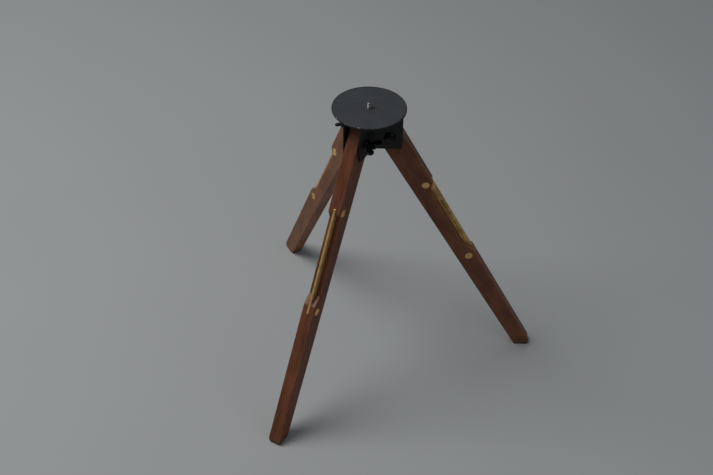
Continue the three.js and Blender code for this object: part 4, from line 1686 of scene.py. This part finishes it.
    def rivets(self, material: bpy.types.Material) -> bpy.types.Mesh:
        """The two rivets in one mesh.

        Args:
            material: Their finish.

        Returns:
            Both rivets.
        """
        head, shank, half = self.rivet_head / 2, self.rivet_shank / 2, self.width / 2
        under, crown = half - self.rivet_head_thickness, half - 0.05
        side = [(shank, under, 0.1), (head, under, 0.1), (head, crown, 0.28),
                (head * 0.6, half, 0.0), (0.0, half, 0.0)]
        corners = [(r, -z, rounding) for r, z, rounding in reversed(side)] + side
        mesh = moved(turned("rivet", eased(corners, closed=False), 48), TIPPED)
        pattern = linked("rivet_pattern", mesh)
        points = bpy.data.meshes.new("rivet_places")
        points.from_pydata([(self.rivet_x, 0, -drop) for drop in self.rivet_drops], [], [])
        made = grown(points, rivet_tree(), rivet=pattern, seed=20 + self.number, finish=material)
        bpy.data.objects.remove(pattern)
        return made

    def pad(self) -> bpy.types.Mesh:
        """The thin pad under the foot, in the station's frame."""
        toe, heel = self.toe_and_heel
        outer = self.toe_radius - self.hinge.radius - self.pad_inset
        inner = self.toe_radius - self.hinge.radius - (toe - heel).length + self.pad_inset
        half = self.width / 2 - self.pad_inset
        outline = eased(oblong(inner, -half, outer, half, self.pad_corner), steps=6)
        return prism("pad", outline, 0.0, self.sole - 0.02, 0.25, 3)

    def build(self) -> None:
        """Makes and dresses the leg."""
        number, label, body = self.number, str(self.number), f"leg_{self.number}"
        place, station = self.hinge.leg(), self.hinge.station()
        # Painted light: the walnut is made lighter or darker per leg for how the light falls on that
        # leg.
        timber = WALNUT.board(LEG_LIGHT_TINTS[number]).material(place, label)
        brass, rivet_brass = BRASS.material(place, label), RIVET_BRASS.material(place, label)
        rubber = RUBBER.material(station, label)
        add_piece(f"walnut_leg_{number}", self.bar(), place, timber, body, Slot.WOOD, f"{body}_bar")
        add_piece(f"brass_blade_{number}", self.plate(brass), place, brass, body, Slot.PLATE,
                  f"{body}_plate")
        add_piece(f"flush_rivets_{number}", self.rivets(rivet_brass), place, rivet_brass, body,
                  Slot.RIVET, f"{body}_upper_rivet", f"{body}_lower_rivet")
        add_piece(f"rubber_sole_{number}", self.pad(), station, rubber, body, Slot.PAD,
                  f"{body}_pad")


# --- Studio ---------------------------------------------------------------------------------------


@dataclass(frozen=True)
class SoftLight:
    """A square light that faces the middle of the stand."""

    name: str
    place: Triple  # metres
    side: float  # metres
    power: float  # watts
    colour: Triple
    aim: Triple = (0, 0, 0.2)  # metres

    def hang(self) -> None:
        """Adds the light to the scene."""
        data = bpy.data.lights.new(self.name, "AREA")
        data.shape, data.size = "SQUARE", self.side
        data.energy, data.color = self.power, self.colour
        lamp = linked(self.name, data)
        lamp.location = self.place
        aim = Vector(self.aim) - lamp.location
        lamp.rotation_euler = aim.to_track_quat("-Z", "Y").to_euler()


@dataclass
class Studio:
    """The camera, the soft light and the plain floor."""

    lens: float = 64.0
    sensor: float = 36.0
    azimuth: float = 270.324
    elevation: float = 40.071
    roll: float = 0.814
    right: float = -17.06  # mm from the middle of the head's top, in the camera's own directions
    up: float = -173.41
    back: float = 1690.64
    floor_reach: float = 14.0  # metres, from the middle to an edge
    sky: Triple = (0.62, 0.65, 0.68)
    sky_strength: float = 0.18
    lights: tuple[SoftLight, ...] = (
        SoftLight("key", (-1.5, 0.1, 2.6), 1.7, 42.0, (1.0, 0.99, 0.97)),
        SoftLight("fill", (1.6, -1.9, 1.5), 1.6, 4.6, (0.93, 0.96, 1.0)),
    )
    place: HeadPlace = field(default_factory=HeadPlace.packed)

    def camera(self) -> None:
        """Sets up the camera."""
        azimuth, elevation = math.radians(self.azimuth), math.radians(self.elevation)
        level = math.cos(elevation)
        back = Vector((level * math.cos(azimuth), level * math.sin(azimuth), math.sin(elevation)))
        right = Vector((-math.sin(azimuth), math.cos(azimuth), 0))
        turn = Matrix.Rotation(math.radians(self.roll), 3, back)
        up, right = turn @ back.cross(right), turn @ right
        top = Vector((self.place.axis.x, self.place.axis.y, self.place.top))
        eye = top + (right * self.right + up * self.up + back * self.back) * MM
        data = bpy.data.cameras.new("camera")
        data.lens, data.sensor_width = self.lens, self.sensor
        camera = linked("camera", data)
        turned_frame = Matrix((right, up, back)).transposed().to_4x4()
        camera.matrix_world = Matrix.Translation(eye) @ turned_frame
        bpy.context.scene.camera = camera

    def surroundings(self) -> None:
        """Lays the floor and sets the lights."""
        end = self.floor_reach
        mesh = bpy.data.meshes.new("floor")
        mesh.from_pydata([(x, y, 0) for x, y, _ in oblong(-end, -end, end, end)], [], [range(4)])
        mesh.materials.append(FLOOR.material(Matrix.Scale(MM, 4)))
        linked("floor", mesh)
        world = bpy.data.worlds.new("studio")
        world.use_nodes = True
        sky = world.node_tree.nodes["Background"]
        sky.inputs["Color"].default_value = (*self.sky, 1)
        sky.inputs["Strength"].default_value = self.sky_strength
        bpy.context.scene.world = world
        for light in self.lights:
            light.hang()
        bpy.context.scene.view_settings.view_transform = "Standard"


# --- Assembly -------------------------------------------------------------------------------------


def main() -> None:
    """Builds the tripod in order."""
    logging.basicConfig(level=logging.INFO, format="%(name)s: %(message)s")
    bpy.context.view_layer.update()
    studio = Studio()
    studio.camera()
    Head().build()
    for number in LEG_NUMBERS:
        Bracket(number).build()
        HingeSet(number).build()
        Leg(number).build()
    studio.surroundings()
    bpy.context.view_layer.update()


if __name__ == "__main__":
    main()
